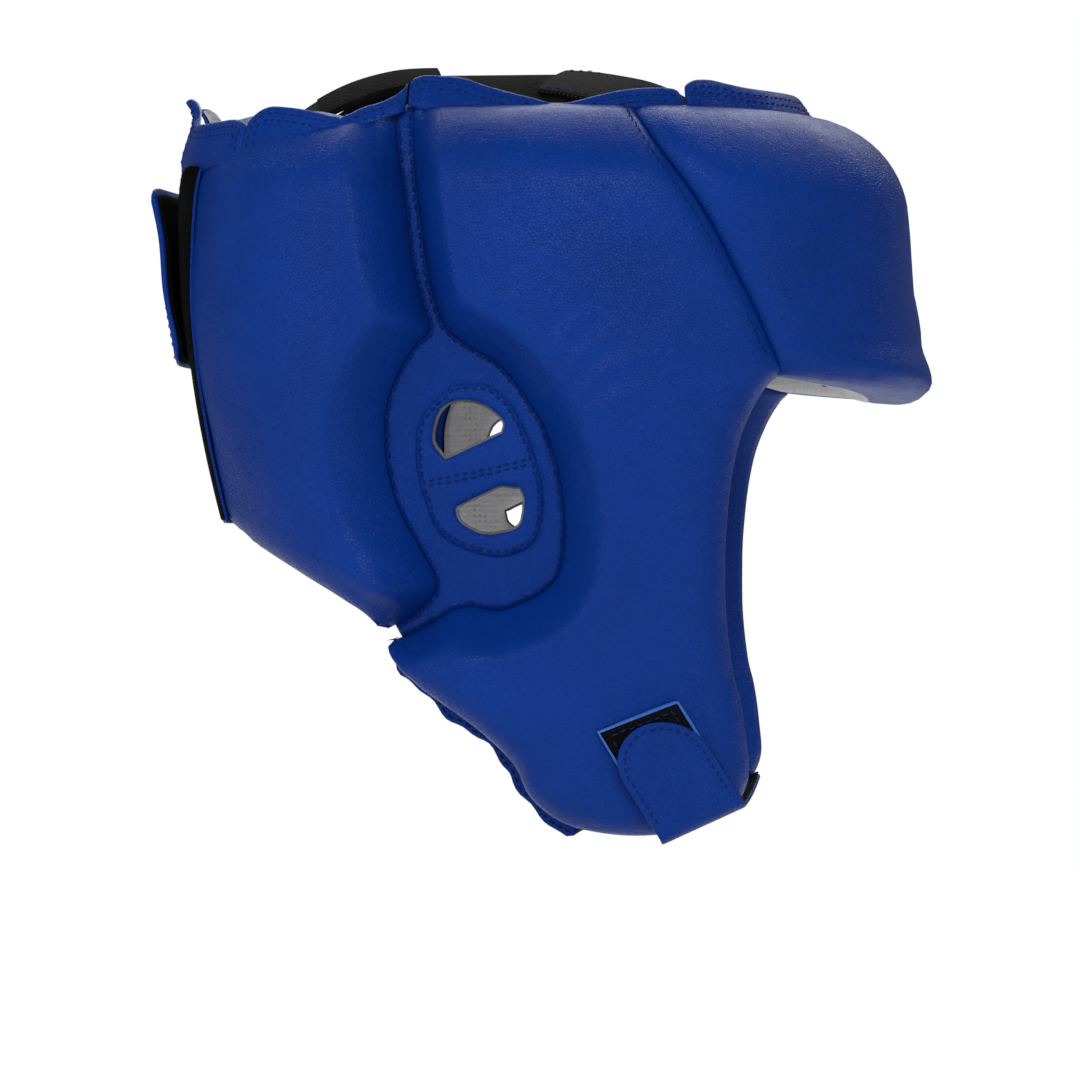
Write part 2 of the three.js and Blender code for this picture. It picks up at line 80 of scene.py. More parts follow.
# The head narrows below these heights: (start height, length) of the jaw and of the nape.
JAW, NAPE = (20, 135), (60, 75)
JAW_FRONT, JAW_SIDE, NAPE_BACK = 0.1, 0.22, 0.16
PAD, BROW_EXTRA, BROW_SLANT, REAR_LESS = 24.0, 8.0, 4.6, 2.0
PAD_ROUND_Z, PAD_TOP_Z, PAD_TOP_THICK = 86.0, 115.0, 4.0
CORNER_DIP, CORNER_ANGLE, CORNER_WIDTH = 3.2, 121, 8.5
CROWN_WEB_Z, CROWN_FLAT = 132.5, 30.0
CROWN_CROSS, CROWN_FRONT, CROWN_REAR = 0.0055, 0.005, 0.009


def section(z):
    """Half sizes of the head form at a height: to the front, the back and the side."""
    above = np.clip((z - CROWN_FROM) / (HEAD_TOP - CROWN_FROM), 0, 0.999)
    crown = (1 - above ** CROWN_POWER) ** (1 / CROWN_POWER)
    jaw = np.clip((JAW[0] - z) / JAW[1], 0, 2)
    nape = np.clip((NAPE[0] - z) / NAPE[1], 0, 2.2)
    front = HEAD_FRONT * crown * (1 - JAW_FRONT * jaw)
    back = HEAD_BACK * crown * (1 - NAPE_BACK * nape ** 1.6)
    side = HEAD_SIDE * crown * (1 - JAW_SIDE * jaw ** 1.5)
    return front, back, side


def head_point(th, z):
    front, back, side = section(z)
    c, s = np.cos(th), np.sin(th)
    power = np.where(c > 0, FRONT_POWER, BACK_POWER)
    along = np.abs(c) / np.where(c > 0, front, back)
    r = (along ** power + (np.abs(s) / side) ** power) ** (-1 / power)
    return np.stack([r * c, r * s, z + 0 * r], -1)


def normal(th, z):
    around = head_point(th + 0.002, z) - head_point(th - 0.002, z)
    upward = head_point(th, z + 0.1) - head_point(th, z - 0.1)
    n = np.cross(around, upward)
    return n / np.linalg.norm(n, axis=-1, keepdims=True)


def skin(th, z, off):
    """Points at a distance from the head form, along its normal."""
    th, z = np.asarray(th, float), np.asarray(z, float)
    return head_point(th, z) + normal(th, z) * (np.asarray(off, float) + 0 * th)[..., None]


def thickness(th, z):
    """Full thickness of the padding: more at the brow, less at the back, rounded off at its top."""
    c = np.cos(th)
    brow = BROW_EXTRA * np.clip((z + 10) / 30, 0, 1) - BROW_SLANT * np.clip((z - 36) / 24, 0, 1)
    full = PAD + brow * np.maximum(0, c) ** 4 - REAR_LESS * np.maximum(0, -c)
    t = np.clip((z - PAD_ROUND_Z) / (PAD_TOP_Z - PAD_ROUND_Z), 0, 1)
    squareness = 1.6 + 0.8 * np.clip((-c - 0.6) / 0.3, 0, 1)
    return np.maximum(PAD_TOP_THICK, full * (1 - t ** squareness) ** (1 / squareness))


def corner_dip(th, z):
    """How far the tops of the pads sink at the two back corners."""
    near = np.exp(-((np.degrees(np.abs(th)) - CORNER_ANGLE) / CORNER_WIDTH) ** 2)
    return CORNER_DIP * np.clip((z - 88) / 27, 0, 1) * near


def crown_height(x, y):
    """Height of the webbing over the crown."""
    ends = np.maximum(0, np.abs(x) - CROWN_FLAT) ** 2
    return CROWN_WEB_Z - CROWN_CROSS * y ** 2 - np.where(x < 0, CROWN_REAR, CROWN_FRONT) * ends


def locate(points, off):
    """(angle, z) on the wearer's right where the surface at an offset has the given x and z."""
    p = np.asarray(points, float)
    th = -np.arccos(np.clip(p[:, 0] / 115, -0.98, 0.98))
    z = p[:, 1].copy()
    for _ in range(60):
        lift = off(th, z) if callable(off) else off
        q = skin(th, z, lift)
        slope = (skin(th + 0.01, z, lift)[:, 0] - skin(th - 0.01, z, lift)[:, 0]) / 0.02
        z = np.clip(z + 0.8 * (p[:, 1] - q[:, 2]), -135, 131)
        step = 0.8 * (p[:, 0] - q[:, 0]) / np.maximum(slope, 15)
        th = np.clip(th + np.clip(step, -0.15, 0.15), -3.1, -0.05)
    return np.stack([th, z], -1)


# ------------------------------------------------------------------ curves
def resample(points, step=2.0):
    """Points about step apart along a polyline."""
    p = np.asarray(points, float)
    gaps = np.linalg.norm(np.diff(p, axis=0), axis=1)
    along = np.concatenate([[0], np.cumsum(gaps)])
    at = np.linspace(0, along[-1], max(2, int(round(along[-1] / step)) + 1))
    return np.stack([np.interp(at, along, p[:, k]) for k in range(p.shape[1])], -1)


def smooth_run(points, step=2.0):
    """Points about step apart along a smooth curve through the given ones."""
    p = np.asarray(points, float)
    ends = np.vstack([2 * p[0] - p[1], p, 2 * p[-1] - p[-2]])
    fine = []
    for i in range(1, len(ends) - 2):
        a, b, c, d = ends[i - 1:i + 3]
        for t in np.linspace(0, 1, 10, endpoint=False):
            fine.append(0.5 * ((2 * b) + (c - a) * t + (2 * a - 5 * b + 4 * c - d) * t ** 2
                               + (3 * b - a - 3 * c + d) * t ** 3))
    return resample(np.vstack([fine, p[-1:]]), step)


def inside(points, ring):
    x, y = points[:, 0][:, None], points[:, 1][:, None]
    a, b = ring, np.roll(ring, -1, axis=0)
    cross = (a[:, 1] > y) != (b[:, 1] > y)
    dy = np.where(np.abs(b[:, 1] - a[:, 1]) < 1e-12, 1e-12, b[:, 1] - a[:, 1])
    hit = x < (b[:, 0] - a[:, 0]) * (y - a[:, 1]) / dy + a[:, 0]
    return (cross & hit).sum(1) % 2 == 1


def run_distance(points, runs):
    """Distance from each point to the nearest of some open polylines."""
    best = np.full(len(points), 1e9)
    for run in runs:
        a, b = run[:-1], run[1:]
        ab = b - a
        length = np.maximum((ab ** 2).sum(1), 1e-12)
        for start in range(0, len(points), 2000):
            p = points[start:start + 2000]
            t = np.clip(((p[:, None] - a) * ab).sum(-1) / length, 0, 1)
            d = np.linalg.norm(p[:, None] - (a + t[..., None] * ab), axis=-1).min(1)
            best[start:start + 2000] = np.minimum(best[start:start + 2000], d)
    return best


def inset_ring(ring, distance):
    """A closed ring moved inwards, without the points that fall too near the edge."""
    area = 0.5 * np.sum(ring[:, 0] * np.roll(ring[:, 1], -1) - np.roll(ring[:, 0], -1) * ring[:, 1])
    tangent = np.roll(ring, -1, axis=0) - np.roll(ring, 1, axis=0)
    tangent /= np.maximum(np.linalg.norm(tangent, axis=1, keepdims=True), 1e-9)
    inward = np.stack([-tangent[:, 1], tangent[:, 0]], -1) * np.sign(area)
    moved = ring + inward * distance
    closed = np.vstack([ring, ring[:1]])
    keep = inside(moved, ring) & (run_distance(moved, [closed]) > 0.93 * distance)
    return moved[keep]


# ------------------------------------------------------------------ meshes
SCALE = 96.0
MERGE = 2e-6
ROW_RATIO = 0.866
GRID_MARGIN = 0.55


def make_object(name, verts, faces, mirror=False, uv=None, smooth=True):
    """Mesh object from points in millimetres, mirrored to the wearer's left where asked."""
    verts = np.asarray(verts, float) * MM
    if mirror:
        verts = verts * np.array([1, -1, 1])
        faces = [tuple(reversed(f)) for f in faces]
    mesh = bpy.data.meshes.new(name)
    mesh.from_pydata([tuple(v) for v in verts], [], [tuple(int(i) for i in f) for f in faces])
    if uv is not None:
        layer = mesh.uv_layers.new(name="UVMap")
        for loop in mesh.loops:
            layer.data[loop.index].uv = uv[loop.vertex_index]
    bm = bmesh.new()
    bm.from_mesh(mesh)
    bmesh.ops.remove_doubles(bm, verts=bm.verts, dist=MERGE)
    bmesh.ops.dissolve_degenerate(bm, edges=bm.edges, dist=MERGE / 2)
    bmesh.ops.recalc_face_normals(bm, faces=bm.faces)
    bm.to_mesh(mesh)
    bm.free()
    mesh.polygons.foreach_set("use_smooth", [smooth] * len(mesh.polygons))
    obj = bpy.data.objects.new(name, mesh)
    bpy.context.scene.collection.objects.link(obj)
    return obj


def triangulate(ring, spacing, holes=(), rings=()):
    """Points and triangles that fill a ring, with extra rows of points at the distances in rings."""
    loops = [ring, *holes]
    edges = []
    for loop in loops:
        first, n = len(edges), len(loop)
        edges += [(first + i, first + (i + 1) % n) for i in range(n)]
    closed = [np.vstack([loop, loop[:1]]) for loop in loops]
    low, high = ring.min(0), ring.max(0)
    rows = []
    for j, y in enumerate(np.arange(low[1], high[1], spacing * ROW_RATIO)):
        x = np.arange(low[0] + (j % 2) * spacing / 2, high[0], spacing)
        rows.append(np.stack([x, np.full_like(x, y)], -1))
    grid = np.vstack(rows)
    grid = grid[inside(grid, ring)]
    for hole in holes:
        grid = grid[~inside(grid, hole)]
    margin = GRID_MARGIN * spacing
    grid = grid[run_distance(grid, closed[:1]) > max([margin] + [r + margin for r in rings])]
    if holes:
        grid = grid[run_distance(grid, closed[1:]) > margin]
    points = np.vstack([*loops, *(inset_ring(ring, distance) for distance in rings), grid])
    out = delaunay_2d_cdt([Vector(p) for p in points], edges, [], 0, 1e-5)
    pts = np.array([tuple(v) for v in out[0]])
    tris = np.array([f for f in out[2] if len(f) == 3])
    centre = pts[tris].mean(1)
    keep = inside(centre, ring)
    for hole in holes:
        keep &= ~inside(centre, hole)
    tris = tris[keep]
    a, b, c = pts[tris[:, 0]], pts[tris[:, 1]], pts[tris[:, 2]]
    ab, ac = b - a, c - a
    area = ab[:, 0] * ac[:, 1] - ab[:, 1] * ac[:, 0]
    tris[area < 0] = tris[area < 0][:, ::-1]
    return pts, tris[np.abs(area) > 1e-7]


def closed_sheet(name, pts, tris, front, back, mirror=False):
    """Closed body over a triangulated patch, from its outer and inner positions."""
    n = len(pts)
    faces = [tuple(t) for t in tris] + [tuple(t[::-1] + n) for t in tris]
    edges = dict.fromkeys((t[i], t[(i + 1) % 3]) for t in tris for i in range(3))
    faces += [(b, a, a + n, b + n) for a, b in edges if (b, a) not in edges]
    return make_object(name, np.vstack([front, back]), faces, mirror)


def domain(angles_z):
    """Points of the flat patch domain, in millimetres, from (angle, z)."""
    return np.stack([angles_z[:, 0] * SCALE, angles_z[:, 1]], -1)


def from_domain(pts):
    return pts[:, 0] / SCALE, pts[:, 1]


def circle_rise(t):
    t = np.clip(t, 0, 1)
    return np.sqrt(np.maximum(0, 1 - (1 - t) ** 2))


def spot(x, z, centre, size):
    """1 at a centre, falling away smoothly over a size."""
    return np.exp(-(((x - centre[0]) / size[0]) ** 2 + ((z - centre[1]) / size[1]) ** 2))


def waviness(p, size, amount):
    return np.array([noise.noise(Vector(q / size)) for q in p]) * amount


# How a pad ends at each kind of edge: its outer and inner face there, and how far in each of them takes to
# reach its full height. Each is (share of the pad's thickness, millimetres).
EDGES = {
    "seam": ((0, 2.4), (0, 0.3), (0, 19.0), (0, 3.0)),
    "butt": ((1, -4.5), (0, 0.3), (0, 8.0), (0, 3.0)),
    "roll": ((0.5, 0), (0.5, 0), (0.55, 0), (0, 9.0)),
    "lip": ((0.72, 0), (0.66, 0), (0, 7.0), (0, 9.0)),
    "top": ((0, 2.4), (0, 1.0), (0, 3.0), (0, 3.0)),
}
SEAM_SHOULDER, SEAM_SHOULDER_SHARE, SEAM_SHOULDER_POWER = 12.0, 0.82, 1.2
PAD_ROWS, LINER_ROWS = (0.5, 1.8), (1.0, 2.6)
LINER_SPACING, LINER_TOP, LINER_UNDER = 4.0, 0.8, 0.7
LARGE_WAVE, SMALL_WAVE, WAVE_DEPTH = (34.0, 0.9), (13.0, 0.25), 12.0


def pad_heights(pts, runs):
    """Outer and inner offsets of a puffed pad over its patch. Each run of the edge has its own kind."""
    th, z = from_domain(pts)
    full = thickness(th, z)
    rise, drop = np.ones(len(pts)), np.ones(len(pts))
    edge_top, edge_bottom, weight = np.zeros((3, len(pts)))
    for kind, measures in EDGES.items():
        mine = [run for k, run in runs if k == kind]
        if not mine:
            continue
        d = run_distance(pts, mine)
        top, bottom, reach, under = (share * full + length for share, length in measures)
        factor = circle_rise(d / reach)
        if kind == "seam":
            shoulder = 1 - (1 - np.clip(d / SEAM_SHOULDER, 0, 1)) ** SEAM_SHOULDER_POWER
            factor = SEAM_SHOULDER_SHARE * shoulder + (1 - SEAM_SHOULDER_SHARE) * factor
        near = 1 / (d + 0.4) ** 3
        edge_top += near * top
        edge_bottom += near * bottom
        weight += near
        rise *= factor
        drop *= circle_rise(d / under)
    edge_top /= weight
    edge_bottom /= weight
    return edge_top + (full - edge_top) * rise, edge_bottom * (1 - drop)


def pad_piece(name, runs, shape, spacing=2.3, mirror=False, liner_inset=3.2):
    """Leather pad and its lining over one patch, bounded by runs of (kind, domain points)."""
    ring = np.vstack([run[:-1] for _, run in runs])
    pts, tris = triangulate(ring, spacing, rings=PAD_ROWS)
    th, z = from_domain(pts)
    outer, inner = pad_heights(pts, runs)
    place = skin(th, z, outer)
    body = np.clip((outer - inner) / WAVE_DEPTH, 0, 1)
    outer = outer + body * (waviness(place, *LARGE_WAVE) + waviness(place, *SMALL_WAVE))
    outer = outer + shape(place, z, outer)
    sunk = z - corner_dip(th, z)
    above, below = skin(th, sunk, outer), skin(th, sunk, inner)
    leather = closed_sheet(name + "_leather", pts, tris, above, below, mirror)
    pts, tris = triangulate(inset_ring(ring, liner_inset), LINER_SPACING, rings=LINER_ROWS)
    th, z = from_domain(pts)
    puff = np.maximum(pad_heights(pts, runs)[1], 0.0)
    above, below = skin(th, z, puff + LINER_TOP), skin(th, z, puff - LINER_UNDER)
    return leather, closed_sheet(name + "_liner", pts, tris, above, below, mirror)


def grid_body(name, outer, inner, mirror=False):
    """Closed body between two grids of points of the same shape (rows, columns, 3)."""
    rows, cols = outer.shape[:2]
    n = rows * cols
    last, end = rows - 1, cols - 1
    faces = []

    def at(side, j, i):
        return side * n + j * cols + i

    def quad(*corners):
        faces.append(tuple(at(*corner) for corner in corners))

    for j in range(last):
        for i in range(end):
            quad((0, j, i), (0, j, i + 1), (0, j + 1, i + 1), (0, j + 1, i))
            quad((1, j, i), (1, j + 1, i), (1, j + 1, i + 1), (1, j, i + 1))
    for i in range(end):
        quad((0, 0, i + 1), (0, 0, i), (1, 0, i), (1, 0, i + 1))
        quad((0, last, i), (0, last, i + 1), (1, last, i + 1), (1, last, i))
    for j in range(last):
        quad((0, j, 0), (0, j + 1, 0), (1, j + 1, 0), (1, j, 0))
        quad((0, j + 1, end), (0, j, end), (1, j, end), (1, j + 1, end))
    verts = np.vstack([outer.reshape(-1, 3), inner.reshape(-1, 3)])
    across = np.linalg.norm(np.diff(outer, axis=1), axis=2).mean(0)
    along = np.linalg.norm(np.diff(outer, axis=0), axis=2).mean(1)
    u = np.concatenate([[0], np.cumsum(across)])
    v = np.concatenate([[0], np.cumsum(along)])
    flat = np.stack(np.meshgrid(u, v), -1).reshape(-1, 2) * MM
    return make_object(name, verts, faces, mirror, uv=np.vstack([flat, flat]))


def rounded(low, high, count, edge):
    """Stations from low to high, more of them near both ends, and how far each is from the nearest end."""
    core = np.linspace(low, high, count)
    extra = np.array([0.15, 0.5, 1.0]) * edge
    at = np.unique(np.concatenate([core, low + extra, high - extra]))
    return at, np.minimum(at - low, high - at)


# ------------------------------------------------------------------ materials
def new_material(name, roughness, specular=0.5):
    mat = bpy.data.materials.new(name)
    mat.use_nodes = True
    tree = mat.node_tree
    shader = tree.nodes["Principled BSDF"]
    shader.inputs["Roughness"].default_value = roughness
    shader.inputs["Specular IOR Level"].default_value = specular
    return mat, tree, shader, tree.nodes.new("ShaderNodeTexCoord")


def link(tree, a, out, b, into):
    tree.links.new(a.outputs[out], b.inputs[into])


def texture(tree, kind, scale, coords, **settings):
    """Texture node on object coordinates. Each setting is an input or a property of the node."""
    node = tree.nodes.new("ShaderNodeTex" + kind)
    node.inputs["Scale"].default_value = scale
    for key, value in settings.items():
        if key in node.inputs:
            node.inputs[key].default_value = value
        else:
            setattr(node, key, value)
    link(tree, coords, "Object", node, "Vector")
    return node


def ramp(tree, source, out, stops):
    """Colour ramp through (position, colour) stops."""
    node = tree.nodes.new("ShaderNodeValToRGB")
    while len(node.color_ramp.elements) < len(stops):
        node.color_ramp.elements.new(0.5)
    for element, (at, color) in zip(node.color_ramp.elements, stops):
        element.position = at
        element.color = (*color, 1)
    link(tree, source, out, node, "Fac")
    return node


def bump(tree, height, out, strength, distance, below=None):
    node = tree.nodes.new("ShaderNodeBump")
    node.inputs["Strength"].default_value = strength
    node.inputs["Distance"].default_value = distance
    link(tree, height, out, node, "Height")
    if below is not None:
        link(tree, below, "Normal", node, "Normal")
    return node


def map_range(tree, source, out, **limits):
    node = tree.nodes.new("ShaderNodeMapRange")
    for key, value in limits.items():
        node.inputs[key.replace("_", " ")].default_value = value
    link(tree, source, out, node, "Value")
    return node


def math_node(tree, operation, source, out, value=None):
    node = tree.nodes.new("ShaderNodeMath")
    node.operation = operation
    link(tree, source, out, node, 0)
    if value is not None:
        node.inputs[1].default_value = value
    return node


def cover(tree, shader, colour, relief):
    link(tree, colour, "Color", shader, "Base Color")
    link(tree, relief, "Normal", shader, "Normal")


def tint(color, factor):
    return tuple(min(1, c * factor) for c in color)


def leather_material(name, deep, mid, light, roughness=0.37):
    mat, tree, shader, coords = new_material(name, roughness, 0.08)
    cloud = texture(tree, "Noise", 22, coords, Detail=5.0, Roughness=0.6)
    cells = texture(tree, "Voronoi", 950, coords, feature="DISTANCE_TO_EDGE")
    pores = texture(tree, "Noise", 2300, coords, Detail=3.0)
    creases = texture(tree, "Noise", 120, coords, Detail=6.0, Roughness=0.62, Distortion=1.4)
    colour = ramp(tree, cloud, "Fac", [(0.3, deep), (0.52, mid), (0.75, light)])
    # Painted shade: the base colour is multiplied down by up to 12% along the edges of the grain cells, the
    # grooves where the grain bump sinks.
    groove = ramp(tree, cells, "Distance", [(0.0, (0.0, 0.0, 0.0)), (0.12, (1.0, 1.0, 1.0))])
    shade = tree.nodes.new("ShaderNodeMix")
    shade.data_type = "RGBA"
    shade.blend_type = "MULTIPLY"
    shade.inputs[0].default_value = 0.12
    link(tree, colour, "Color", shade, 6)
    link(tree, groove, "Color", shade, 7)
    grain = bump(tree, groove, "Color", 0.5, 0.00028)
    fine = bump(tree, pores, "Fac", 0.25, 0.00015, grain)
    soft = bump(tree, creases, "Fac", 0.28, 0.0009, fine)
    link(tree, shade, 2, shader, "Base Color")
    link(tree, soft, "Normal", shader, "Normal")
    shine = map_range(tree, creases, "Fac", From_Min=0.3, From_Max=0.75, To_Min=roughness + 0.07,
                      To_Max=roughness - 0.05)
    link(tree, shine, "Result", shader, "Roughness")
    return mat


def webbing_material(name, base, rib=0.0015, turn=0.0042):
    """Herringbone weave: diagonal ribs that turn back at every fourth thread."""
    mat, tree, shader, coords = new_material(name, 0.85, 0.05)
    split = tree.nodes.new("ShaderNodeSeparateXYZ")
    link(tree, coords, "UV", split, "Vector")
    slant = math_node(tree, "ADD", math_node(tree, "PINGPONG", split, "X", turn), 0)
    link(tree, split, "Y", slant, 1)
    wave = math_node(tree, "SINE", math_node(tree, "MULTIPLY", slant, 0, 2 * math.pi / rib), 0)
    level = map_range(tree, wave, 0, From_Min=-1)
    fuzz = texture(tree, "Noise", 1800, coords, Detail=3.0)
    # Painted shade and highlight: the colour is darker in the rib troughs and lighter on the rib crests,
    # from the same rib height as the bump.
    colour = ramp(tree, level, "Result", [(0.0, tint(base, 0.35)), (0.6, base), (1.0, tint(base, 2.2))])
    ribs = bump(tree, level, "Result", 0.8, 0.0004)
    cover(tree, shader, colour, bump(tree, fuzz, "Fac", 0.4, 0.0002, ribs))
    return mat


def pile_material(name, base, scale=900, depth=0.0006):
    mat, tree, shader, coords = new_material(name, 0.95, 0.03)
    loops = texture(tree, "Voronoi", scale, coords, feature="SMOOTH_F1")
    fuzz = texture(tree, "Noise", scale * 2.4, coords, Detail=4.0)
    patches = texture(tree, "Noise", 60, coords, Detail=3.0)
    colour = ramp(tree, patches, "Fac", [(0.3, tint(base, 0.6)), (0.7, tint(base, 1.5))])
    tufts = bump(tree, loops, "Distance", 0.9, depth)
    cover(tree, shader, colour, bump(tree, fuzz, "Fac", 0.6, depth * 0.5, tufts))
    return mat


def mesh_material(name, base, hole):
    """Light knitted mesh lining with small dark holes."""
    mat, tree, shader, coords = new_material(name, 0.9)
    cells = texture(tree, "Voronoi", 520, coords, Randomness=0.25)
    knit = texture(tree, "Noise", 1500, coords, Detail=3.0)
    colour = ramp(tree, cells, "Distance", [(0.0, hole), (0.22, base), (1.0, tint(base, 1.1))])
    dents = bump(tree, cells, "Distance", 0.7, 0.0006)
    cover(tree, shader, colour, bump(tree, knit, "Fac", 0.4, 0.0002, dents))
    shader.inputs["Sheen Weight"].default_value = 0.2
    return mat


def thread_material(name, base):
    mat, tree, shader, coords = new_material(name, 0.7, 0.15)
    ply = texture(tree, "Wave", 900, coords, Distortion=2.0)
    # Painted shade and highlight: the colour is darker between the plies and lighter on them, from the same
    # ply pattern as the bump.
    colour = ramp(tree, ply, "Fac", [(0.0, tint(base, 0.5)), (1.0, tint(base, 1.4))])
    cover(tree, shader, colour, bump(tree, ply, "Fac", 0.5, 0.0002))
    return mat


BLUE = leather_material("grained_blue", (0.0003, 0.0195, 0.152), (0.0004, 0.0228, 0.175),
                        (0.0008, 0.0275, 0.2))
EDGE_BLUE = leather_material("cut_blue", (0.02, 0.08, 0.34), (0.035, 0.11, 0.4), (0.06, 0.16, 0.48), 0.6)
WEB = webbing_material("herringbone_black", (0.006, 0.006, 0.0065))
PILE = pile_material("pile_black", (0.0028, 0.0028, 0.003))
FUZZ = pile_material("cut_grey", (0.1, 0.1, 0.105), 1500, 0.0004)
LINING = mesh_material("knit_grey", (0.36, 0.36, 0.37), (0.1, 0.1, 0.105))
THREAD = thread_material("thread_navy", (0.002, 0.01, 0.075))


def finish_piece(obj, material, body, replaces=()):
    """Material, slot, body and replaced nodes of one piece. body is a name to attach the piece to, or a
    (body, body, start, end) whose parts are not read: such a piece only has its transform baked.
    """
    obj.data.materials.clear()
    obj.data.materials.append(material)
    if isinstance(body, str):
        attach(obj, body)
    else:
        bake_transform(obj)
    if replaces:
        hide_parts(*replaces)
    return obj


def rear_bend(side):
    """(body, body, start, end) for the ear zone pieces, between the shell and the rear pad on its side;
    finish_piece only bakes their transform.
    """
    y = -0.09 if side == "right" else 0.09
    return ("shell", f"rear_{side}", (-0.006, y, 0.03), (-0.044, y, 0.03))


SIDES = (("right", False), ("left", True))

# ------------------------------------------------------------------ outlines seen from the side, (x, z)
BROW_SEAM = [(46, 114.5), (49.8, 109), (56.7, 99), (65.9, 86.5), (73.5, 74), (79.4, 62), (85.6, 49.5),
             (90.2, 39), (93.5, 32)]
FACE_EDGE = [(93.5, 31), (86.7, 25), (80.6, 12.7), (77.4, 0), (75.6, -15.5), (74.9, -31), (75.3, -47),
             (77.2, -63), (79.3, -72), (80.8, -84), (81.5, -97), (76, -107.5), (64, -113), (50, -115),
             (36, -114), (24, -110.5), (14.5, -102.5), (9.5, -92), (-0.9, -81.6), (-13.4, -72.3),
             (-23, -64.5), (-29, -58.5), (-30.5, -53.6)]
EAR_FRONT = [(-22.9, 116), (-21.5, 94.7), (-19, 75.7), (-16.6, 59.7), (-12, 45.8), (-3.8, 39), (5.7, 33),
             (13.6, 23.6), (19.9, 12.7), (24.5, -3), (25.8, -18.7), (24.2, -31.5), (19.5, -37.7),
             (11.6, -42), (5, -44.2), (-4.3, -43), (-10.8, -44.6), (-17.3, -48.6), (-24, -51.8),
             (-30.5, -53.6)]
EAR_REAR = [(-28.5, 114.5), (-27.3, 101), (-24.6, 85), (-22.3, 66), (-18.5, 51), (-16.5, 44), (-20.7, 40),
            (-26.3, 31.5), (-30.2, 22), (-31.2, 13), (-30.3, 0), (-26.7, -12.5), (-20.5, -24),
            (-15.3, -33.5), (-16, -39), (-22.4, -45.4), (-32.3, -50.6)]
REAR_LOWER = [(-32.3, -50.6), (-38, -43.5), (-54, -33.6), (-69, -24.5)]
NAPE_EDGE = [(-147, -18.5), (-160, -15), (-172.5, -14.5)]
SEAM_LIFT = 2.6


def open_top(run):
    """A run from the top of a pad, started at the pad's top row."""
    first = run[0].copy()
    first[1] = PAD_TOP_Z
    return np.vstack([first, run[run[:, 1] < PAD_TOP_Z - 0.5]])


def half(th, z):
    return thickness(th, z) * 0.5


def over_pad(extra):
    return lambda th, z: thickness(th, z) + extra


ear_front = open_top(domain(locate(smooth_run(EAR_FRONT), SEAM_LIFT)))
ear_rear = open_top(domain(locate(smooth_run(EAR_REAR), SEAM_LIFT)))
brow = open_top(domain(locate(smooth_run(BROW_SEAM), over_pad(-4.0))))
face = domain(locate(smooth_run(FACE_EDGE), half))
rear_low = domain(locate(smooth_run(REAR_LOWER), half))

# ------------------------------------------------------------------ forehead
# The lower edge dips from the brow seams to the middle of the forehead.
BROW_EDGE_Z, BROW_EDGE_DIP, BROW_EDGE_POWER = 30.0, 7.0, 0.8
lower_angle = np.linspace(brow[-1, 0], 0, 30)
lower_turn = 1 - lower_angle / brow[-1, 0]
lower_right = np.stack([lower_angle, BROW_EDGE_Z - BROW_EDGE_DIP * lower_turn ** BROW_EDGE_POWER], -1)
flip = np.array([-1, 1])
lower = np.vstack([lower_right, (lower_right * flip)[::-1][1:]])
brow_left = (brow * flip)[::-1]
top_front = resample([brow_left[-1], brow[0]])

# The rolled lip and the waist over it: (amount, height, half height).
BROW_LIP, BROW_WAIST = (1.6, 30.5, 5.0), (0.7, 42, 4.0)


def brow_shape(place, z, outer):
    """Rolled lip along the front of the lower edge."""
    front = np.clip((place[:, 0] - 85) / 40, 0, 1)
    lip, waist = (amount * np.exp(-((z - height) / half_height) ** 2)
                  for amount, height, half_height in (BROW_LIP, BROW_WAIST))
    return front * (lip - waist)


forehead_runs = [("butt", brow), ("lip", lower), ("butt", brow_left), ("top", top_front)]
leather, liner = pad_piece("forehead", forehead_runs, brow_shape, spacing=2.8, liner_inset=0.8)
finish_piece(leather, BLUE, "shell", ("forehead_cover", "forehead_foam"))
finish_piece(liner, LINING, "shell", ("forehead_lining",))

# ------------------------------------------------------------------ side and rear pads
top_side = resample([brow[0], ear_front[0]])
side_runs = [("seam", ear_front), ("roll", face[::-1]), ("butt", brow[::-1]), ("top", top_side)]

nape_edge = np.array([(math.radians(degrees) * SCALE, z) for degrees, z in NAPE_EDGE])
rear_edge = np.vstack([rear_low, smooth_run(np.vstack([rear_low[-1:], nape_edge]))[1:]])
back_edge = resample([rear_edge[-1], (rear_edge[-1, 0], PAD_TOP_Z)])
top_rear = resample([back_edge[-1], ear_rear[0]])
rear_runs = [("seam", ear_rear), ("roll", rear_edge), ("roll", back_edge), ("top", top_rear)]

FOLD_DEPTH_FULL = 14
# Pull folds fan out from a point between the ear holes. They and the creases below fill areas given as
# (centre, size): of (distance, angle) round that point, or of (x, z).
FAN_POINT, FAN_AREA = (-2, 2), ((44, 0.62), (14, 0.42))
SIDE_CORNER = ((-14, -58), (12, 9))
REAR_CORNER, REAR_WAIST = ((-32, -38), (13, 10)), ((-34, 44), (9, 12))


def side_shape(place, z, outer):
    """Pull folds in front of the ear zone and at its lower corner."""
    x, zz = place[:, 0], place[:, 2]
    fan = np.arctan2(zz - FAN_POINT[1], x - FAN_POINT[0])
    away = np.hypot(x - FAN_POINT[0], zz - FAN_POINT[1])
    folds = spot(away, fan, *FAN_AREA) * 0.42 * np.sin(fan * 36 + 0.8 * np.sin(away * 0.22))
    folds += spot(x, zz, *SIDE_CORNER) * 0.9 * np.sin((zz - 0.6 * x) * 0.62)
    return np.clip(outer / FOLD_DEPTH_FULL, 0, 1) * folds


def rear_shape(place, z, outer):
    """Creases that run from the pad's front lower corner, and a waist beside the ear zone's top."""
    x, zz = place[:, 0], place[:, 2]
    creases = spot(x, zz, *REAR_CORNER) * np.sin((zz + 0.55 * x) * 0.55)
    return np.clip(outer / FOLD_DEPTH_FULL, 0, 1) * (creases - spot(x, zz, *REAR_WAIST) * 1.6)


